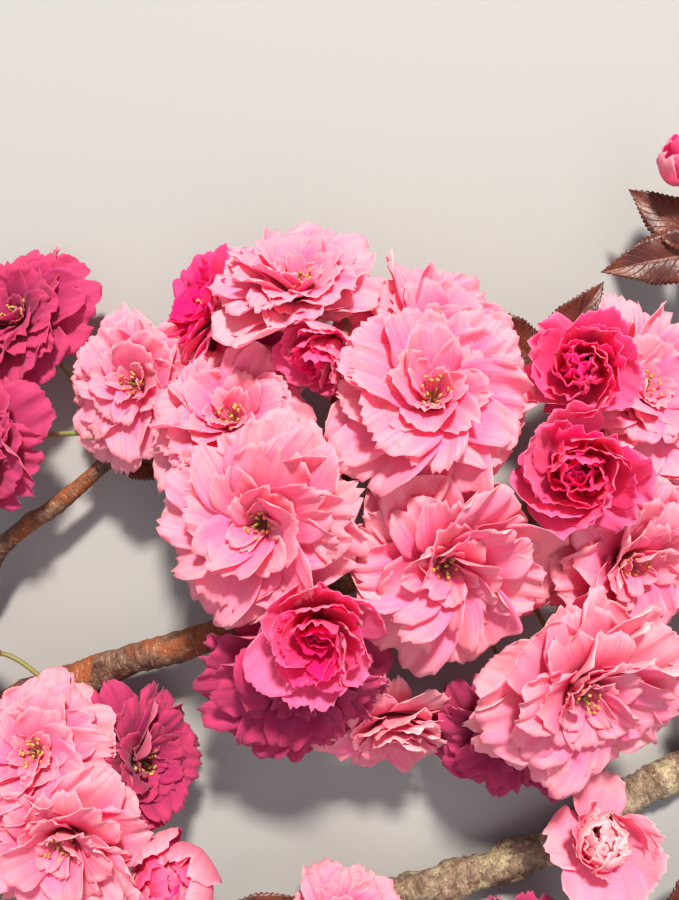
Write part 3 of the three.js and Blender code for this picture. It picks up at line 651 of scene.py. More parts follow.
def stem_material(name, shade, light, mottling):
    """Stalk, sepal, scale or stamen: smooth skin flushed with a second colour, slightly shiny.
    Its flushed patches are finer as mottling, their number to a metre, goes up."""
    m = new_material(name)
    n = partial(node, m)
    solid = n("TexCoord", output="Object")
    cloud = n("TexNoise", {"Vector": solid, "Scale": mottling, "Detail": 3.0})
    fine = n("TexNoise", {"Vector": solid, "Scale": mottling * 9, "Detail": 3.0})
    tint = n("Mix", {0: n("MapRange", (cloud, 0.35, 0.65)), 6: shade, 7: light}, 2, data_type="RGBA")
    bump = n("Bump", {"Strength": 0.3, "Distance": 0.0002, "Height": fine})
    rough = n("Math", (fine, 0.25, 0.4), operation="MULTIPLY_ADD")
    finish_surface(n, {"Base Color": tint, "Roughness": rough, "Normal": bump, "IOR": 1.45})
    return m


# What the user sets


def length_prop(name, text, value):
    return bpy.props.FloatProperty(
        name=name, description=text, default=value * MM, min=0.0, unit="LENGTH", precision=5
    )


def share_prop(name, text, value):
    return bpy.props.FloatProperty(
        name=name, description=text, default=value, min=0.0, max=1.0, subtype="FACTOR"
    )


def colour_prop(name, text, code):
    return bpy.props.FloatVectorProperty(
        name=name, description=text, default=colour(code)[:3], size=3, min=0.0, max=1.0, subtype="COLOR"
    )


def group_prop(group, name, text):
    return bpy.props.PointerProperty(type=group, name=name, description=text)


class BranchBarkSettings(bpy.types.PropertyGroup):
    """Sizes and colours of the limbs."""

    relief: length_prop("Relief", "How far lumps and scars stand out of the bark", 0.75)
    ground: colour_prop("Bark", "Main colour of the bark", "#604433")
    young: colour_prop("Young bark", "Main colour of the upper limb's and the twigs' bark", "#4A2010")
    pale: colour_prop("Lenticels", "Colour of the lenticels and of weathered bark", "#B3A086")
    peel: colour_prop("Peeling bark", "Colour of bark that peels", "#8E4A22")
    lichen: colour_prop("Lichen", "Colour of the lichen", "#8E8A4E")
    heart: colour_prop("Heartwood", "Colour of the heart in the cut", "#8C5230")
    sap: colour_prop("Sapwood", "Colour of the rest of the cut", "#C8A278")


class BranchPetalSettings(bpy.types.PropertyGroup):
    """Sizes and colours of the petals."""

    thickness: length_prop("Thickness", "Thickness of a petal", 0.2)
    ruffle: length_prop("Ruffle", "How far a petal's margin waves", 1.25)
    notch: share_prop("Notch", "Depth of the nick in a petal's tip, as a share of its length", 0.1)
    fringe: share_prop("Fringe", "Depth of the small teeth at a petal's tip, as a share of its length", 0.036)
    # Each tone runs from its foot colour, partly painted shade where the petals crowd, through its face
    # colour to its margin colour, partly a painted highlight.
    pale: colour_prop("Pale", "Colour of the pale blooms' inner faces", "#FFB6BE")
    pale_foot: colour_prop("Pale foot", "Colour at the foot of the pale blooms' petals", "#FF66BC")
    pale_margin: colour_prop("Pale margin", "Colour at the margin of the pale blooms' petals", "#FFE4E0")
    # The rose colours are darker copies of the petal colours: painted shade for the blooms that lie in shade.
    shaded_rose: colour_prop("Rose", "Colour of the rosy blooms' inner faces", "#BE4A76")
    shaded_rose_foot: colour_prop("Rose foot", "Colour at the foot of the rosy blooms' petals", "#982064")
    shaded_rose_margin: colour_prop("Rose margin", "Colour at the margin of the rosy blooms' petals", "#E484A2")
    deep: colour_prop("Deep", "Colour of the half-open blooms' inner faces", "#FF90C0")
    deep_foot: colour_prop("Deep foot", "Colour at the foot of the half-open blooms' petals", "#F030A2")
    deep_margin: colour_prop("Deep margin", "Colour at the margin of the half-open blooms' petals", "#FFD0DC")
    glow: colour_prop("Glow", "Colour of light that comes through a petal", "#FF58B4")
    throat: colour_prop("Throat", "What deepens the innermost petals of half-open blooms", "#FF58C6")
    heart: colour_prop("Heart", "What deepens the innermost petals of the other blooms", "#FFF0F3")


class BranchGreenSettings(bpy.types.PropertyGroup):
    """Sizes and colours of leaves, stalks and stamens."""

    teeth: length_prop("Teeth", "Depth of the teeth on a leaf's edge", 0.8)
    leaf: colour_prop("Leaf", "Colour of the young leaves", "#481613")
    leaf_glow: colour_prop("Leaf tint", "Colour that the leaves turn to in places", "#75381E")
    rib: colour_prop("Ribs", "Colour of the leaves' ribs", "#A8604A")
    stalk: colour_prop("Stalk", "Colour of the flower stalks", "#6E7A35")
    flush: colour_prop("Flush", "Red that flushes stalks and sepals", "#8E3B44")
    filament: colour_prop("Filament", "Colour of the stamens' filaments", "#EDA58C")
    anther: colour_prop("Anther", "Colour of the stamens' anthers", "#D4A058")
    pistil: colour_prop("Pistil", "Colour of the leafy pistils", "#8E8A3C")
    scale: colour_prop("Bud scale", "Colour of the bud scales", "#7A3F22")


class BranchStageSettings(bpy.types.PropertyGroup):
    """The camera, the table and the lights."""

    height: length_prop("Camera height", "Height of the camera over the table", 327.5)
    lens: bpy.props.FloatProperty(
        name="Lens", description="Focal length of the camera", default=35.0, min=1.0, unit="CAMERA"
    )
    table: colour_prop("Table", "Colour of the table", "#979694")
    key: bpy.props.FloatProperty(
        name="Key", description="Power of the key light", default=146.0, min=0.0, unit="POWER"
    )
    fill: bpy.props.FloatProperty(
        name="Fill", description="Strength of the light all round", default=0.56, min=0.0
    )


def settings():
    return bpy.context.scene.cherry_branch


# Limbs


def limb_radius(radii, shares, length):
    knots = max(1, round(length / KNOT_SPACING))
    swell = 1 + KNOT_SWELL * np.sin(shares * knots * np.pi) ** 2
    return mixed(radii[0], radii[1], shares) * swell


def limb_lines(names, spacing):
    """The centreline and radius of one limb, or of several that run on from each other."""
    lines, radii = [], []
    for name in names:
        route, ends = LIMBS[name]
        line, along = smooth_line(route, spacing)
        radius = limb_radius(ends, along / along[-1], along[-1])
        start = 1 if lines else 0
        lines.append(line[start:])
        radii.append(radius[start:])
    line, radius = np.vstack(lines), np.concatenate(radii)
    # The radius runs on smoothly where one limb follows another.
    reach = 5
    kernel = np.hanning(2 * reach + 3)[1:-1]
    padded = np.pad(radius, reach, mode="edge")
    return line, np.convolve(padded, kernel / kernel.sum(), "valid")


def bark_knobs(line, radius, first, second, seed):
    """Places of old bud scars along a limb, with the height of each."""
    count = len(line) // KNOB_ROWS
    for k in range(count):
        row = int(mixed(6, len(line) - 7, (k + chance(seed, 700 + k)) / count))
        out = way_out(first[row], second[row], chance(seed, 730 + k) * 2 * math.pi)
        yield line[row] + out * radius[row], mixed(0.5, 1.0, chance(seed, 760 + k))


def bark_skin(shape, names, sides, seed, gnarled=1.0):
    """Bark along a limb, with its lumps, wrinkles round it, bud scars and swellings at spurs."""
    relief = settings().bark.relief / MM * gnarled
    line, radius = limb_lines(names, BARK_ROW)
    tangents, first, second = frames_along(line)
    along = lengths_along(line)
    turn = full_turn(sides)
    out = way_out(first[:, None], second[:, None], turn[:, None])
    skin = line[:, None] + out * radius[:, None, None]
    lumps = 1.1 * grain(skin, 9.0, seed) + 0.7 * grain(skin, 3.6, seed + 3)
    lumps += 0.35 * grain(skin, 1.6, seed + 4)
    wrinkles = np.sin(2 * np.pi * (along[:, None] / WRINKLE_SPACING + 0.5 * grain(skin, 8.0, seed + 5)))
    nearness = np.cos(2 * np.pi * along / KNOT_SPACING)[:, None]
    knotty = np.clip(nearness + 0.6 * grain(skin, 12.0, seed + 6), 0, 1)
    raised = np.zeros(skin.shape[:2])
    for at, size in bark_knobs(line, radius, first, second, seed):
        apart = np.linalg.norm(skin - at, axis=-1)
        # A ring-shaped scar: a mound with a smaller pit in it.
        raised += size * (3.0 * np.exp(-((apart / 3.4) ** 2)) - 2.3 * np.exp(-((apart / 1.3) ** 2)))
    scale = np.minimum(1.0, radius / 7.0)[:, None]  # thin twigs are smoother
    height = relief * scale * (lumps + 0.4 * wrinkles * knotty) + raised * scale
    for limb, foot, way in SPURS.values():
        if limb in names:
            at = np.array(foot, float) + unit(way) * 5
            height += 1.6 * np.exp(-((np.linalg.norm(skin - at, axis=-1) / 6.0) ** 2))
    end = np.sqrt(np.clip(1 - ((along - along[-1] + TIP_LENGTH) / TIP_LENGTH).clip(0) ** 2, 0.02, 1))
    skin = line[:, None] + out * ((radius[:, None] + height) * end[:, None])[..., None]
    skin[..., 2] += np.maximum(0.05 - SHIFT[2] - skin[..., 2], 0)  # none of it goes below the table
    around = np.linspace(0, 2 * np.pi, sides + 1)[None] * radius[:, None]
    marks = np.stack([around / 10 + seed * 9, np.broadcast_to(along[:, None] / 10, around.shape)], -1)
    shape.tube(skin, marks, BARK)
    polar = np.c_[np.cos(turn), np.sin(turn)] * radius[0] / 10
    shape.ends(skin, (line[0], line[-1] + tangents[-1] * 0.2), polar, (0, 0), (CUT_WOOD, BARK))


def spur_head(name):
    _, foot, way = SPURS[name]
    return np.array(foot, float) + unit(way) * SPUR_REACH


def spur_skin(shape, name, seed):
    """A short shoot: a stack of ring scars that ends in a rounded, scaly head."""
    _, foot, way = SPURS[name]
    way = unit(way)
    rows, sides = 26, 20
    steps = np.linspace(0, 1, rows)
    reach = SPUR_REACH + SPUR_RADIUS * 0.75
    line = np.array(foot, float) + way * (steps * reach)[:, None]
    rings = 0.12 * np.abs(np.sin(steps * 9 * np.pi)) + 0.1 * np.sin(steps * 3.3 * np.pi + seed)
    rounding = np.sqrt(np.clip(1 - ((steps - 0.78) / 0.225).clip(0) ** 2, 0.01, 1))
    radius = SPUR_RADIUS * (0.86 + rings) * rounding
    _, first, second = frames_along(line)
    out = way_out(first[:, None], second[:, None], full_turn(sides)[:, None])
    skin = line[:, None] + out * radius[:, None, None]
    skin += out * (0.28 * grain(skin, 1.8, seed))[..., None]
    around = np.linspace(0, 2 * np.pi, sides + 1)[None] * SPUR_RADIUS / 10
    marks = np.stack(np.broadcast_arrays(around + seed, steps[:, None] * reach / 10), -1)
    shape.tube(skin, marks, BARK)
    tips = line[0], line[-1] + way * 0.2
    shape.ends(skin, tips, np.full((sides, 2), float(seed)), (seed, 0), (BARK, BARK))


# Stalks, calyces, sepals and stamens


def stand_of(name):
    """A bloom's heart, the unit way that it faces and two unit ways across that."""
    heart, lean = BLOOMS[name][:2]
    axis = facing(*lean)
    first = unit(np.cross((1, 0, 0), axis))
    return np.array(heart, float), axis, first, np.cross(axis, first)


def fan_of(name):
    """The way that each stalk leaves a spur's head, keyed by what the stalk carries."""
    way = unit(SPURS[name][2])
    head = spur_head(name)
    turned = turned_to(way)
    carried = [(key, bloom[0]) for key, bloom in BLOOMS.items() if bloom[4] == name]
    carried += [(key, tuft[0]) for key, tuft in LEAF_TUFTS.items() if tuft[1] == name]
    turns = []
    for key, at in carried:
        local = turned.T @ (np.array(at, float) - head)
        turns.append((math.atan2(local[1], local[0]), key))
    turns.sort()
    step = 2 * math.pi / len(turns)
    first = sum(turn - k * step for k, (turn, _) in enumerate(turns)) / len(turns)
    tilt = FAN_ANGLE if len(turns) > 1 else 0
    return {key: turned @ facing(math.degrees(first + k * step), tilt) for k, (_, key) in enumerate(turns)}


def bezier(points, count):
    a, b, c, d = (np.asarray(p, float) for p in points)
    t = np.linspace(0, 1, count)[:, None]
    return a * (1 - t) ** 3 + 3 * b * t * (1 - t) ** 2 + 3 * c * t**2 * (1 - t) + d * t**3


def stalk_line(spur, key, foot, arriving, count=20):
    """A stalk's curve from its spur's head to the foot of what it carries."""
    head = spur_head(spur)
    leaving = fan_of(spur)[key]
    reach = np.linalg.norm(np.asarray(foot) - head)
    start, end = head + leaving * SPUR_RADIUS * 0.4, foot + arriving * 2
    after_start = head + leaving * (SPUR_RADIUS + reach * 0.3)
    return bezier((start, after_start, foot - arriving * reach * 0.3, end), count)


def rod(shape, line, radius, sides, slot, seed):
    """A round rod along a line, with a blunt point at each end."""
    tangents, first, second = frames_along(line)
    radius = np.broadcast_to(radius, len(line)).astype(float)
    out = way_out(first[:, None], second[:, None], full_turn(sides)[:, None])
    skin = line[:, None] + out * radius[:, None, None]
    shape.tube(skin, even_square(len(line), sides + 1) + seed, slot)
    tips = line[0] - tangents[0] * radius[0] * 0.3, line[-1] + tangents[-1] * radius[-1] * 0.5
    shape.ends(skin, tips, np.full((sides, 2), float(seed)), (seed, seed), (slot, slot))


def blade(shape, foot, along, side, length, breadth, slot, bend=0.4, cup=0.2):
    """A small pointed leaf-like blade, such as a sepal, a bract or a leafy pistil."""
    rows, columns = 6, 4
    normal = np.cross(along, side)
    t = np.linspace(0, 1, rows)[:, None]
    u = np.linspace(-1, 1, columns)[None]
    half = breadth / 2 * np.sin(np.pi * np.clip(t * 0.86 + 0.12, 0, 1)) ** 0.8 + 0.04
    angle = bend * t
    reach = length * t
    places = (
        np.asarray(foot)
        + along * (reach * np.cos(angle * 0.5))[..., None]
        + side * (u * half)[..., None]
        + normal * (reach * np.sin(angle * 0.5) + cup * half * u**2)[..., None]
    )
    marks = np.stack(np.broadcast_arrays(u, t), -1).astype(float)
    shape.shell(places, np.full((rows, columns), BLADE_THICKNESS), marks, (slot, slot))


def bloom_stem(shape, name, seed):
    """A bloom's stalk, its narrow calyx tube and its spreading sepals."""
    kind, spur = BLOOMS[name][3:]
    heart, axis, first, second = stand_of(name)
    line = stalk_line(spur, name, heart - axis * CALYX_LENGTH, axis)
    rod(shape, line, np.linspace(*STALK_RADII, len(line)), sides=8, slot=STALK, seed=seed)
    heights = np.linspace(-1, 0.1, 9)
    radius = CALYX_RADIUS * np.interp(heights, *CALYX_PROFILE)
    line = heart + axis * (heights * CALYX_LENGTH)[:, None]
    rod(shape, line, radius, sides=12, slot=CALYX, seed=seed)
    # Sepals spread wider under an open bloom.
    open_by = math.radians(58 if kind == "open" else 28)
    for k in range(SEPALS):
        out = way_out(first, second, 2 * math.pi * (k + chance(seed, 300)) / SEPALS)
        way = out * math.sin(open_by) + axis * math.cos(open_by)
        root = heart + out * CALYX_RADIUS * 0.75 - axis * 1.2
        blade(shape, root, way, np.cross(axis, out), SEPAL_LENGTH, SEPAL_BREADTH, CALYX)


def bloom_centre(shape, name, seed):
    """20 to 26 stamens with yellow anthers, and two green, leafy pistils."""
    across, kind = BLOOMS[name][2:4]
    if kind != "open":
        return
    heart, axis, first, second = stand_of(name)
    count = 20 + int(chance(seed, 410) * 7)
    for k in range(count):
        out = way_out(first, second, GOLDEN_TURN * k + chance(seed, 420 + k))
        lean_by = math.radians(mixed(4, 38, math.sqrt((k + 0.5) / count)))
        way = unit(axis * math.cos(lean_by) + out * math.sin(lean_by))
        length = across * mixed(0.09, 0.145, chance(seed, 460 + k))
        root = heart + out * 0.8 + axis * 1.5
        tip = root + way * length
        middle = root + way * length * 0.5 + out * length * 0.06
        line = bezier((root, mixed(root, middle, 0.66), mixed(tip, middle, 0.66), tip), 4)
        rod(shape, line, FILAMENT_RADIUS, sides=4, slot=FILAMENT, seed=seed)
        # The anther is a grain that lies across the filament's tip.
        heights = ANTHER_LENGTH * np.array([-0.5, -0.3, 0.3, 0.5])
        line = tip + way * 0.3 + unit(np.cross(way, out) + way * 0.5) * heights[:, None]
        rod(shape, line, ANTHER_RADIUS * np.array([0.45, 1, 1, 0.45]), sides=6, slot=ANTHER, seed=seed)
    for k in range(2):
        out = way_out(first, second, math.pi * k + chance(seed, 500) * 6)
        way = unit(axis + out * 0.25)
        root = heart + axis * 2 + out * 0.5
        blade(shape, root, way, np.cross(way, out), across * 0.13, 1.1, PISTIL, bend=0.7, cup=0.5)


# Petals


def room_of(name):
    """The middle and the radius of the ball that a bloom about fills."""
    heart, axis, _, _ = stand_of(name)
    radius = BLOOMS[name][2] / 2
    return heart + axis * radius * 0.3, radius


def press_planes(name):
    """Where blooms that press together meet, as in the solids."""
    mine, my_radius = room_of(name)
    planes = []
    for other in BLOOMS:
        theirs, their_radius = room_of(other)
        apart = np.linalg.norm(mine - theirs)
        if other == name or apart >= my_radius + their_radius:
            continue
        out = unit((theirs - mine) * (1, 1, OVERLAP_LEAN))
        even = 0.5 + (my_radius**2 - their_radius**2) / (2 * apart**2)
        share = min(max(even, LEAST_SHARE), 1 - LEAST_SHARE)
        planes.append((out, mixed(mine, theirs, share) @ out))
    return planes


TABLE_PLANE = (-UP, SHIFT[2] - 0.4)


def pressed(places, planes, weight, give=0.0):
    """Places pushed back from each plane that they come near. give lets them pass it by so much.

    The planes are gone through twice, because a push from one can bring a place near another.
    """
    for out, limit in [*planes, *planes]:
        room = limit + give - places @ out
        left = PRESS_DEPTH * np.exp(np.minimum(room / PRESS_DEPTH - 1, 0))
        push = np.where(room < PRESS_DEPTH, room - left, 0)
        places = places + out * (push * weight)[..., None]
    return places


LIMB_LINES = {name: limb_lines([name], 3.0) for name in LIMBS}


def clear_of_limbs(places, weight):
    """Places pushed out of the limbs that they would run through."""
    middle = places.reshape(-1, 3).mean(0)
    for line, radius in LIMB_LINES.values():
        near = np.linalg.norm(line - middle, axis=1) < LIMB_REACH
        if not near.any():
            continue
        line, radius = line[near], radius[near]
        gaps = places[..., None, :] - line
        distance = np.linalg.norm(gaps, axis=-1)
        closest = (distance - radius).argmin(-1)
        gap = np.take_along_axis(gaps, closest[..., None, None], -2)[..., 0, :]
        reach = np.take_along_axis(distance, closest[..., None], -1)[..., 0]
        short = np.maximum(radius[closest] + LIMB_GAP - reach, 0) * weight
        places = places + gap / np.maximum(reach, 0.5)[..., None] * short[..., None]
    return places


def petals_of(name, seed):
    """The petals of a bloom, from the outermost in, by the solids' rule carried to finer rings."""
    across, kind = BLOOMS[name][2:4]
    heart, axis, first, second = stand_of(name)
    rings = KINDS[kind]
    stray = {"open": 1, "bud": 0.6, "crumpled": 2.6}.get(kind, 1.7)
    crumpling = {"open": 1.15, "bud": 0.6, "crumpled": 2}.get(kind, 1.4)
    for level, (count, length, breadth, lean_by, bend) in enumerate(rings):
        depth = level / (len(rings) - 1)
        closing = bend < 0
        for k in range(count):
            use = level * 16 + k
            turn = ((k + level / 2 + 0.5 * chance(seed, use)) / count + chance(seed, 99)) * 2 * math.pi
            size = across / 2 * length * mixed(0.86, 1.08, chance(seed, use + 100))
            yield {
                "id": use + 1,
                "ring": level,
                "heart": heart,
                "axis": axis,
                "out": way_out(first, second, turn),
                "length": size,
                "width": size * breadth * mixed(0.8, 1.15, chance(seed, use + 200)),
                "lean": math.radians(lean_by + mixed(-8, 8, chance(seed, use + 300)) * stray),
                "bend": math.radians(bend + mixed(-11, 11, chance(seed, use + 400))),
                "curl": math.radians(mixed(-16, 30, chance(seed, use + 500))) * (0.4 if closing else 1),
                "roll": math.radians(10 + mixed(-8, 8, chance(seed, use + 600))),
                "twist": math.radians(mixed(-15, 15, chance(seed, use + 700)) * min(stray, 1.5)),
                "cupping": 0.4 if kind == "bud" else mixed(0.1, 0.4, depth) + 0.14 * closing,
                "fringe": 0.3 if kind == "bud" else mixed(0.25, 1.05, chance(seed, use + 870)),
                "crumple": mixed(1, crumpling, depth),
                "height": (depth * 2 - 1.4) * 1.4 + closing * mixed(-1, 2, chance(seed, use + 850)),
                "depth": depth,
                "give": mixed(-0.6, 8, chance(seed, use + 800)),
                "seed": seed * 131 + use,
            }


def petal_sheet(petal, look, rows, columns):
    """A petal's inner face: a narrow foot, a broad ruffled blade, and a rounded, fringed tip."""
    seed = petal["seed"]
    own = [chance(seed, 900 + k) for k in range(12)]
    v = np.linspace(0, 1, rows)[:, None] ** 0.88
    u = np.linspace(-1, 1, columns)[None]
    zigzag = (np.arange(columns) % 2)[None] - 0.5
    ragged, uneven = (np.array([[chance(seed, use + k) for k in range(columns)]]) for use in (950, 980))
    notch = look.notch * mixed(0, 1.6, own[0]) * np.exp(-(((u - 0.3 * (own[1] - 0.5)) / 0.14) ** 2))
    fringe = (0.1 + 3.6 * uneven**2) * zigzag + 1.3 * ragged
    teeth = look.fringe * petal["fringe"] * fringe * (1 - 0.6 * u**2)
    tip = 1 - mixed(0.18, 0.28, own[2]) * np.abs(u + 0.1 * (own[3] - 0.5)) ** 3 - notch
    reach = v * (1 - (1 - tip) * smooth(0.15, 1.0, v)) - teeth * smooth(0.8, 1.0, v)
    # The midline bends from the lean at the root, and curls most at the tip.
    fine = np.linspace(0, 1.15, 47)
    angle = petal["lean"] + petal["bend"] * fine + petal["curl"] * fine**4
    outward = np.r_[0, np.cumsum(np.sin(angle[:-1]) * np.diff(fine))]
    forward = np.r_[0, np.cumsum(np.cos(angle[:-1]) * np.diff(fine))]
    length = petal["length"]
    here = petal["lean"] + petal["bend"] * reach + petal["curl"] * reach**4
    # A petal is widest at about two thirds of its length, and hardly narrows from there on.
    half = petal["width"] / 2 * (0.12 + 0.88 * np.sin(np.pi / 2 * np.clip(v / 0.64, 0, 1)) ** 0.9)
    half = half * (1 - 0.04 * np.clip((v - 0.64) / 0.36, 0, 1) ** 2)
    axis, out = petal["axis"], petal["out"]
    side = np.cross(axis, out)
    normal = -np.cos(here)[..., None] * out + np.sin(here)[..., None] * axis
    roll = petal["roll"] + petal["twist"] * reach
    ruffle = look.ruffle / MM * (length / 28) * smooth(0.2, 1.0, v) * mixed(0.7, 1.3, own[9])
    # Waves along and across the blade, with a sharper crease or two.
    wave = (
        0.55 * np.sin(2 * np.pi * (0.7 * u + own[4])) * smooth(0.2, 1.0, v)
        + 0.75 * np.abs(u) ** 1.6 * np.sin(2 * np.pi * (1.5 * v + 0.4 * u + own[5]))
        + 0.36 * np.sin(2 * np.pi * (1.7 * u + 0.5 * v + own[6])) * v
        + 0.3 * np.sin(2 * np.pi * (3.2 * u + own[7])) * v**3
        + 0.9 * (np.abs((1.9 * u + own[8]) % 1 - 0.5) * 2 - 0.5) * smooth(0.15, 0.8, v)
    )
    pleat = 0.12 * zigzag * smooth(0.5, 1.0, v) * (0.5 + ragged)
    fold_side = 1 if own[10] > 0.5 else -1
    fold = mixed(0, 0.7, own[11] ** 3) * np.clip(fold_side * u - 0.1, 0, 1) ** 2 * half * v
    lift = petal["cupping"] * u**2 * half + ruffle * petal["crumple"] * wave + pleat + fold
    across = u * half
    x = across * np.cos(roll) - lift * np.sin(roll)
    z = across * np.sin(roll) + lift * np.cos(roll)
    places = (
        petal["heart"]
        + out * (PETAL_ROOT_RADIUS + length * np.interp(reach, fine, outward))[..., None]
        + axis * (petal["height"] + length * np.interp(reach, fine, forward))[..., None]
        + side * x[..., None]
        + normal * z[..., None]
    )
    return places, v, u


def bloom_petals(name, seed):
    """All the petals of one bloom as closed shells."""
    look = settings().petal
    shape = Shape()
    planes = press_planes(name)
    for petal in petals_of(name, seed):
        # The small inner petals need fewer faces. A petal that its neighbours would push far out
        # of shape is smaller, so it stays round.
        rows, columns = (11, 21) if petal["depth"] < 0.7 else (10, 13)
        for _ in range(MOST_TRIES):
            free, v, u = petal_sheet(petal, look, rows, columns)
            weight = np.broadcast_to(smooth(0.05, 0.3, v), free.shape[:2])
            places = pressed(free, planes, weight, petal["give"])
            if np.linalg.norm(places - free, axis=-1).max() < MOST_PUSH * petal["length"]:
                break
            petal["length"] *= 0.86
            petal["width"] *= 0.92
        places = pressed(clear_of_limbs(places, weight), [TABLE_PLANE], weight)
        across, along = petal["id"] + 0.5 + 0.48 * u, petal["ring"] + 0.02 + 0.96 * v
        marks = np.stack(np.broadcast_arrays(across, along), -1)
        thickness = look.thickness / MM * (1 - 0.55 * np.broadcast_to(v, places.shape[:2]))
        shape.shell(places, thickness, marks, (INNER_FACE, OUTER_FACE))
    return shape


# Leaves


def leaf_sheet(foot, way, rise, length, seed):
    """A toothed leaf that arches over and drops at its tip, folded a little along its midrib."""
    teeth = settings().green.teeth / MM
    along = facing(way, 90 - rise)
    side = unit(np.cross(UP, along))
    normal = np.cross(along, side)
    rows, columns = LEAF_TEETH * ROWS_PER_TOOTH + 1, 11
    v = np.linspace(0, 1, rows)[:, None]
    u = np.linspace(-1, 1, columns)[None]
    outline = np.interp(v, *LEAF_OUTLINE)
    half = length * LEAF_BREADTH / 2 * outline
    saw = (np.arange(rows)[:, None] % ROWS_PER_TOOTH) / (ROWS_PER_TOOTH - 1)
    tooth = teeth * 0.8 * saw * np.abs(u) ** 8 * smooth(0.05, 0.2, v) * smooth(1.0, 0.9, v)
    across = u * half + np.sign(u) * tooth
    wave = 0.05 * length * np.sin(2 * np.pi * (1.6 * v + chance(seed, 5))) * u**2 * outline
    side_rib = np.abs((v * LEAF_RIBS - np.abs(u) * RIB_SWEEP) % 1 - 0.5)
    ribs = -0.16 * np.clip(1 - 7 * side_rib, 0, 1) - 0.3 * np.exp(-((u / 0.06) ** 2))
    lift = -0.2 * length * v**2 + 0.2 * half * np.abs(u) + wave + ribs * outline
    bow = 0.03 * length * np.sin(np.pi * v) * (chance(seed, 6) - 0.5)
    places = (
        np.asarray(foot)
        + along * (length * v)[..., None]
        + side * (across + bow)[..., None]
        + normal * lift[..., None]
    )
    places[..., 2] = np.maximum(places[..., 2], 0.3 - SHIFT[2])
    return places, np.stack(np.broadcast_arrays(u, v), -1).astype(float)


def leaf_tuft(shape, name, seed):
    """A stalk with its leaves."""
    foot, spur, leaves = LEAF_TUFTS[name]
    foot = np.array(foot, float)
    arriving = unit(foot - spur_head(spur))
    line = stalk_line(spur, name, foot, arriving, count=18)
    rod(shape, line, LEAF_STALK_RADIUS, sides=8, slot=LEAF_STALK, seed=seed)
    for k, (way, rise, length) in enumerate(leaves):
        root = foot - facing(way, 90 - rise) * 1.5
        places, marks = leaf_sheet(root, way, rise, length, seed * 7 + k)
        shape.shell(places, np.full(places.shape[:2], LEAF_THICKNESS), marks, (LEAF, LEAF))


def bracts(shape, name, seed):
    """Bud scales left round a spur's head, with a few green bracts among the stalks."""
    way = unit(SPURS[name][2])
    head = spur_head(name)
    turned = turned_to(way)
    for k in range(BUD_SCALES):
        out = turned @ facing(360 * (k + chance(seed, k)) / BUD_SCALES, 90)
        rise = mixed(0.2, 1.2, chance(seed, 20 + k))
        along = unit(out + way * rise)
        side = np.cross(way, out)
        size = mixed(3.2, 6.5, chance(seed, 40 + k))
        slot = k % 2  # a dry scale and a green bract by turns
        blade(shape, head + out * 2.2 + way * 0.4, along, side, size, size * 0.62, slot, bend=0.5, cup=0.5)


# The steps of the work


class BranchOperator:
    """What every step shares."""

    bl_options = {"REGISTER", "UNDO"}


class BRANCH_OT_limbs(BranchOperator, bpy.types.Operator):
    """Lays bark over the limbs, the twigs and their spurs"""

    bl_idname = "branch.limbs"
    bl_label = "Limbs"

    def execute(self, context):
        look = settings().bark
        ground, young_ground, pale, peel, lichen = tints(look, "ground", "young", "pale", "peel", "lichen")
        old = bark_material(
            "weathered cherry bark", ground, pale, peel, lichen, weathered=0.6, peeling=0.66, lichened=0.54
        )
        warm = tint_between(pale, peel, 0.35)
        young = bark_material(
            "young cherry bark", young_ground, warm, peel, lichen, weathered=0.4, peeling=0.5, lichened=0.64
        )
        wood = cut_wood_material("fresh-cut cherry wood", *tints(look, "heart", "sap"))
        shape = Shape()
        bark_skin(shape, ["base_limb", "lower_limb_inner", "lower_limb_outer"], sides=64, seed=1, gnarled=1.7)
        piece = shape.object("bark_lower_limb", [old, wood], "bark")
        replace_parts(piece, "base_limb", "lower_limb_inner", "lower_limb_outer")
        shape = Shape()
        bark_skin(shape, ["upper_limb"], sides=56, seed=2, gnarled=1.2)
        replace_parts(shape.object("bark_upper_limb", [young, wood], "bark"), "upper_limb")
        shape = Shape()
        twigs = ["left_twig", "middle_twig", "right_twig", "lower_twig"]
        for k, name in enumerate(twigs):
            bark_skin(shape, [name], sides=36, seed=5 + k)
        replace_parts(shape.object("bark_twigs", [young, wood], "bark"), *twigs)
        shape = Shape()
        for k, name in enumerate(SPURS):
            spur_skin(shape, name, k + 1)
        shape.object("bark_spurs", [young], "bark")
        return {"FINISHED"}


class BRANCH_OT_petals(BranchOperator, bpy.types.Operator):
    """Fills every bloom with its petals"""

    bl_idname = "branch.petals"
    bl_label = "Petals"

    def execute(self, context):
        look = settings().petal
        glow, throat, heart = tints(look, "glow", "throat", "heart")
        tones = {}
        for tone in ("pale", "shaded_rose", "deep"):
            foot, face, margin = tints(look, tone + "_foot", tone, tone + "_margin")
            back = tint_between(face, foot, 0.45)
            # Deep petals let more light through, and the glow tints it less.
            light = {"thin": 0.62, "stain": 0.6} if tone == "deep" else {"thin": 0.44, "stain": 0.85}
            inward = throat if tone == "deep" else heart
            tones[tone] = [
                petal_material(tone + " petal, inner face", foot, face, margin, inward, glow, **light),
                petal_material(tone + " petal, outer face", foot, back, face, inward, glow, **light),
            ]
        for seed, name in enumerate(BLOOMS):
            # Blooms that lie in shade take the rose colours, which are painted shade.
            tone = "deep" if name in DEEP_BLOOMS else "shaded_rose" if name in SHADED_BLOOMS else "pale"
            slot = "petal" if BLOOMS[name][3] == "open" else "petal_deep"
            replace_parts(bloom_petals(name, seed).object("petals_" + name, tones[tone], slot), name)
        return {"FINISHED"}


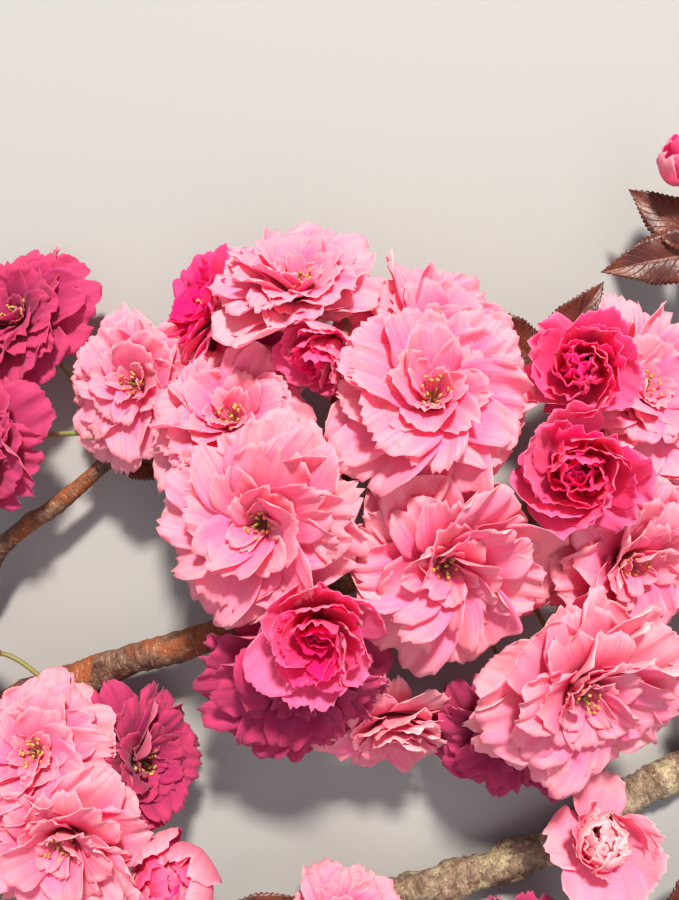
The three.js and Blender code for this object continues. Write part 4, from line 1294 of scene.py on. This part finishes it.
class BRANCH_OT_stalks(BranchOperator, bpy.types.Operator):
    """Makes the flower stalks, calyces, sepals and bud scales"""

    bl_idname = "branch.stalks"
    bl_label = "Stalks"

    def execute(self, context):
        green, red, brown = tints(settings().green, "stalk", "flush", "scale")
        stalk = stem_material("flower stalk", green, tint_between(green, red, 0.5), mottling=160.0)
        calyx = stem_material("calyx and sepals", red, tint_between(red, green, 0.6), mottling=240.0)
        scale = stem_material("dry bud scale", brown, tint_between(brown, green, 0.3), mottling=300.0)
        shape = Shape()
        for seed, name in enumerate(BLOOMS):
            bloom_stem(shape, name, seed)
        shape.object("flower_stalks", [stalk, calyx], "leaf")
        shape = Shape()
        for seed, name in enumerate(SPURS):
            bracts(shape, name, seed)
        shape.object("bud_scales", [scale, stalk], "leaf")
        return {"FINISHED"}


class BRANCH_OT_stamens(BranchOperator, bpy.types.Operator):
    """Sets stamens and leafy pistils in the open blooms"""

    bl_idname = "branch.stamens"
    bl_label = "Stamens"

    def execute(self, context):
        keys = ("filament", "flush", "anther", "pistil")
        thread, flush, gold, green = tints(settings().green, *keys)
        rust = (0.05, 0.02, 0.0, 1.0)
        filament = stem_material("stamen filament", thread, tint_between(thread, flush, 0.4), mottling=500.0)
        anther = stem_material("pollen-dusted anther", gold, tint_between(gold, rust, 0.7), mottling=700.0)
        pistil = stem_material("leafy pistil", green, tint_between(green, BLACK, 0.3), mottling=500.0)
        shape = Shape()
        for seed, name in enumerate(BLOOMS):
            bloom_centre(shape, name, seed)
        shape.object("stamens_and_pistils", [filament, anther, pistil], "leaf")
        return {"FINISHED"}


class BRANCH_OT_leaves(BranchOperator, bpy.types.Operator):
    """Grows the tufts of young leaves"""

    bl_idname = "branch.leaves"
    bl_label = "Leaves"

    def execute(self, context):
        look = settings().green
        leaf = leaf_material("young bronze leaf", *tints(look, "leaf", "rib", "leaf_glow"))
        stalk = stem_material("leaf stalk", *tints(look, "flush", "stalk"), mottling=160.0)
        for seed, name in enumerate(LEAF_TUFTS):
            shape = Shape()
            leaf_tuft(shape, name, seed)
            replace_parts(shape.object("toothed_" + name, [leaf, stalk], "leaf"), name)
        return {"FINISHED"}


class BRANCH_OT_stage(BranchOperator, bpy.types.Operator):
    """Sets the table, the lights and the camera"""

    bl_idname = "branch.stage"
    bl_label = "Stage"

    def execute(self, context):
        look = settings().stage
        scene = context.scene
        scene.view_settings.view_transform = "Standard"
        bpy.ops.mesh.primitive_plane_add(size=8.0, location=(0, 0, 0))
        table = context.object
        table.name = "table"
        m = new_material("matt painted table")
        n = partial(node, m)
        speck = n("TexNoise", {"Vector": n("TexCoord", output="Object"), "Scale": 2600.0, "Detail": 3.0})
        paint = tints(look, "table")[0]
        shade = tint_between(paint, BLACK, 0.05)
        tint = n("Mix", {0: n("MapRange", (speck, 0.3, 0.7)), 6: paint, 7: shade}, 2, data_type="RGBA")
        finish_surface(n, {"Base Color": tint, "Roughness": 0.8})
        table.data.materials.append(m)
        world = bpy.data.worlds.new("studio")
        world.use_nodes = True
        light = world.node_tree.nodes["Background"].inputs
        light["Color"].default_value = (0.84, 0.88, 1.0, 1)
        light["Strength"].default_value = look.fill
        scene.world = world
        self.lamp("key", place=(0.2, 1.7, 2.0), size=0.28, power=look.key)
        self.lamp("soft", place=(0.6, -1.0, 2.4), size=2.0, power=look.key * 0.12)
        camera = bpy.data.cameras.new("camera")
        camera.lens = look.lens
        camera.sensor_width = 36.0
        camera.clip_start = 0.01
        holder = bpy.data.objects.new("camera", camera)
        holder.location = (SHIFT[0] * MM, SHIFT[1] * MM, look.height + SHIFT[2] * MM)
        scene.collection.objects.link(holder)
        scene.camera = holder
        return {"FINISHED"}

    def lamp(self, name, place, size, power):
        lamp = bpy.data.lights.new(name, "AREA")
        lamp.size = size
        lamp.energy = power
        lamp.color = (1.0, 0.94, 0.85)
        holder = bpy.data.objects.new(name, lamp)
        holder.location = place
        way = -np.array(place) / np.linalg.norm(place)
        holder.rotation_euler = (math.acos(-way[2]), 0, math.atan2(way[1], way[0]) - math.pi / 2)
        bpy.context.scene.collection.objects.link(holder)


class BranchSettings(bpy.types.PropertyGroup):
    """All that the user sets."""

    bark: group_prop(BranchBarkSettings, "Bark", "The limbs")
    petal: group_prop(BranchPetalSettings, "Petals", "The blooms")
    green: group_prop(BranchGreenSettings, "Greenery", "Leaves and stalks")
    stage: group_prop(BranchStageSettings, "Stage", "Camera and lights")


STEPS = ("limbs", "petals", "stalks", "stamens", "leaves", "stage")


class BRANCH_PT_panel(bpy.types.Panel):
    """Lists the steps and what the user sets"""

    bl_idname = "BRANCH_PT_panel"
    bl_label = "Flowering Cherry Branch"
    bl_space_type = "VIEW_3D"
    bl_region_type = "UI"
    bl_category = "Branch"

    def draw(self, context):
        for step in STEPS:
            self.layout.operator("branch." + step)
        for part in ("bark", "petal", "green", "stage"):
            box = self.layout.box()
            box.label(text=part.capitalize())
            group = getattr(settings(), part)
            for key in type(group).__annotations__:
                box.prop(group, key)


CLASSES = (
    BranchBarkSettings, BranchPetalSettings, BranchGreenSettings, BranchStageSettings, BranchSettings,
    BRANCH_OT_limbs, BRANCH_OT_petals, BRANCH_OT_stalks, BRANCH_OT_stamens, BRANCH_OT_leaves, BRANCH_OT_stage,
    BRANCH_PT_panel,
)


def register():
    for kind in CLASSES:
        bpy.utils.register_class(kind)
    bpy.types.Scene.cherry_branch = bpy.props.PointerProperty(type=BranchSettings)


def unregister():
    del bpy.types.Scene.cherry_branch
    for kind in reversed(CLASSES):
        bpy.utils.unregister_class(kind)


def main():
    """Runs every step in order."""
    register()
    for step in STEPS:
        getattr(bpy.ops.branch, step)()


if __name__ == "__main__":
    main()
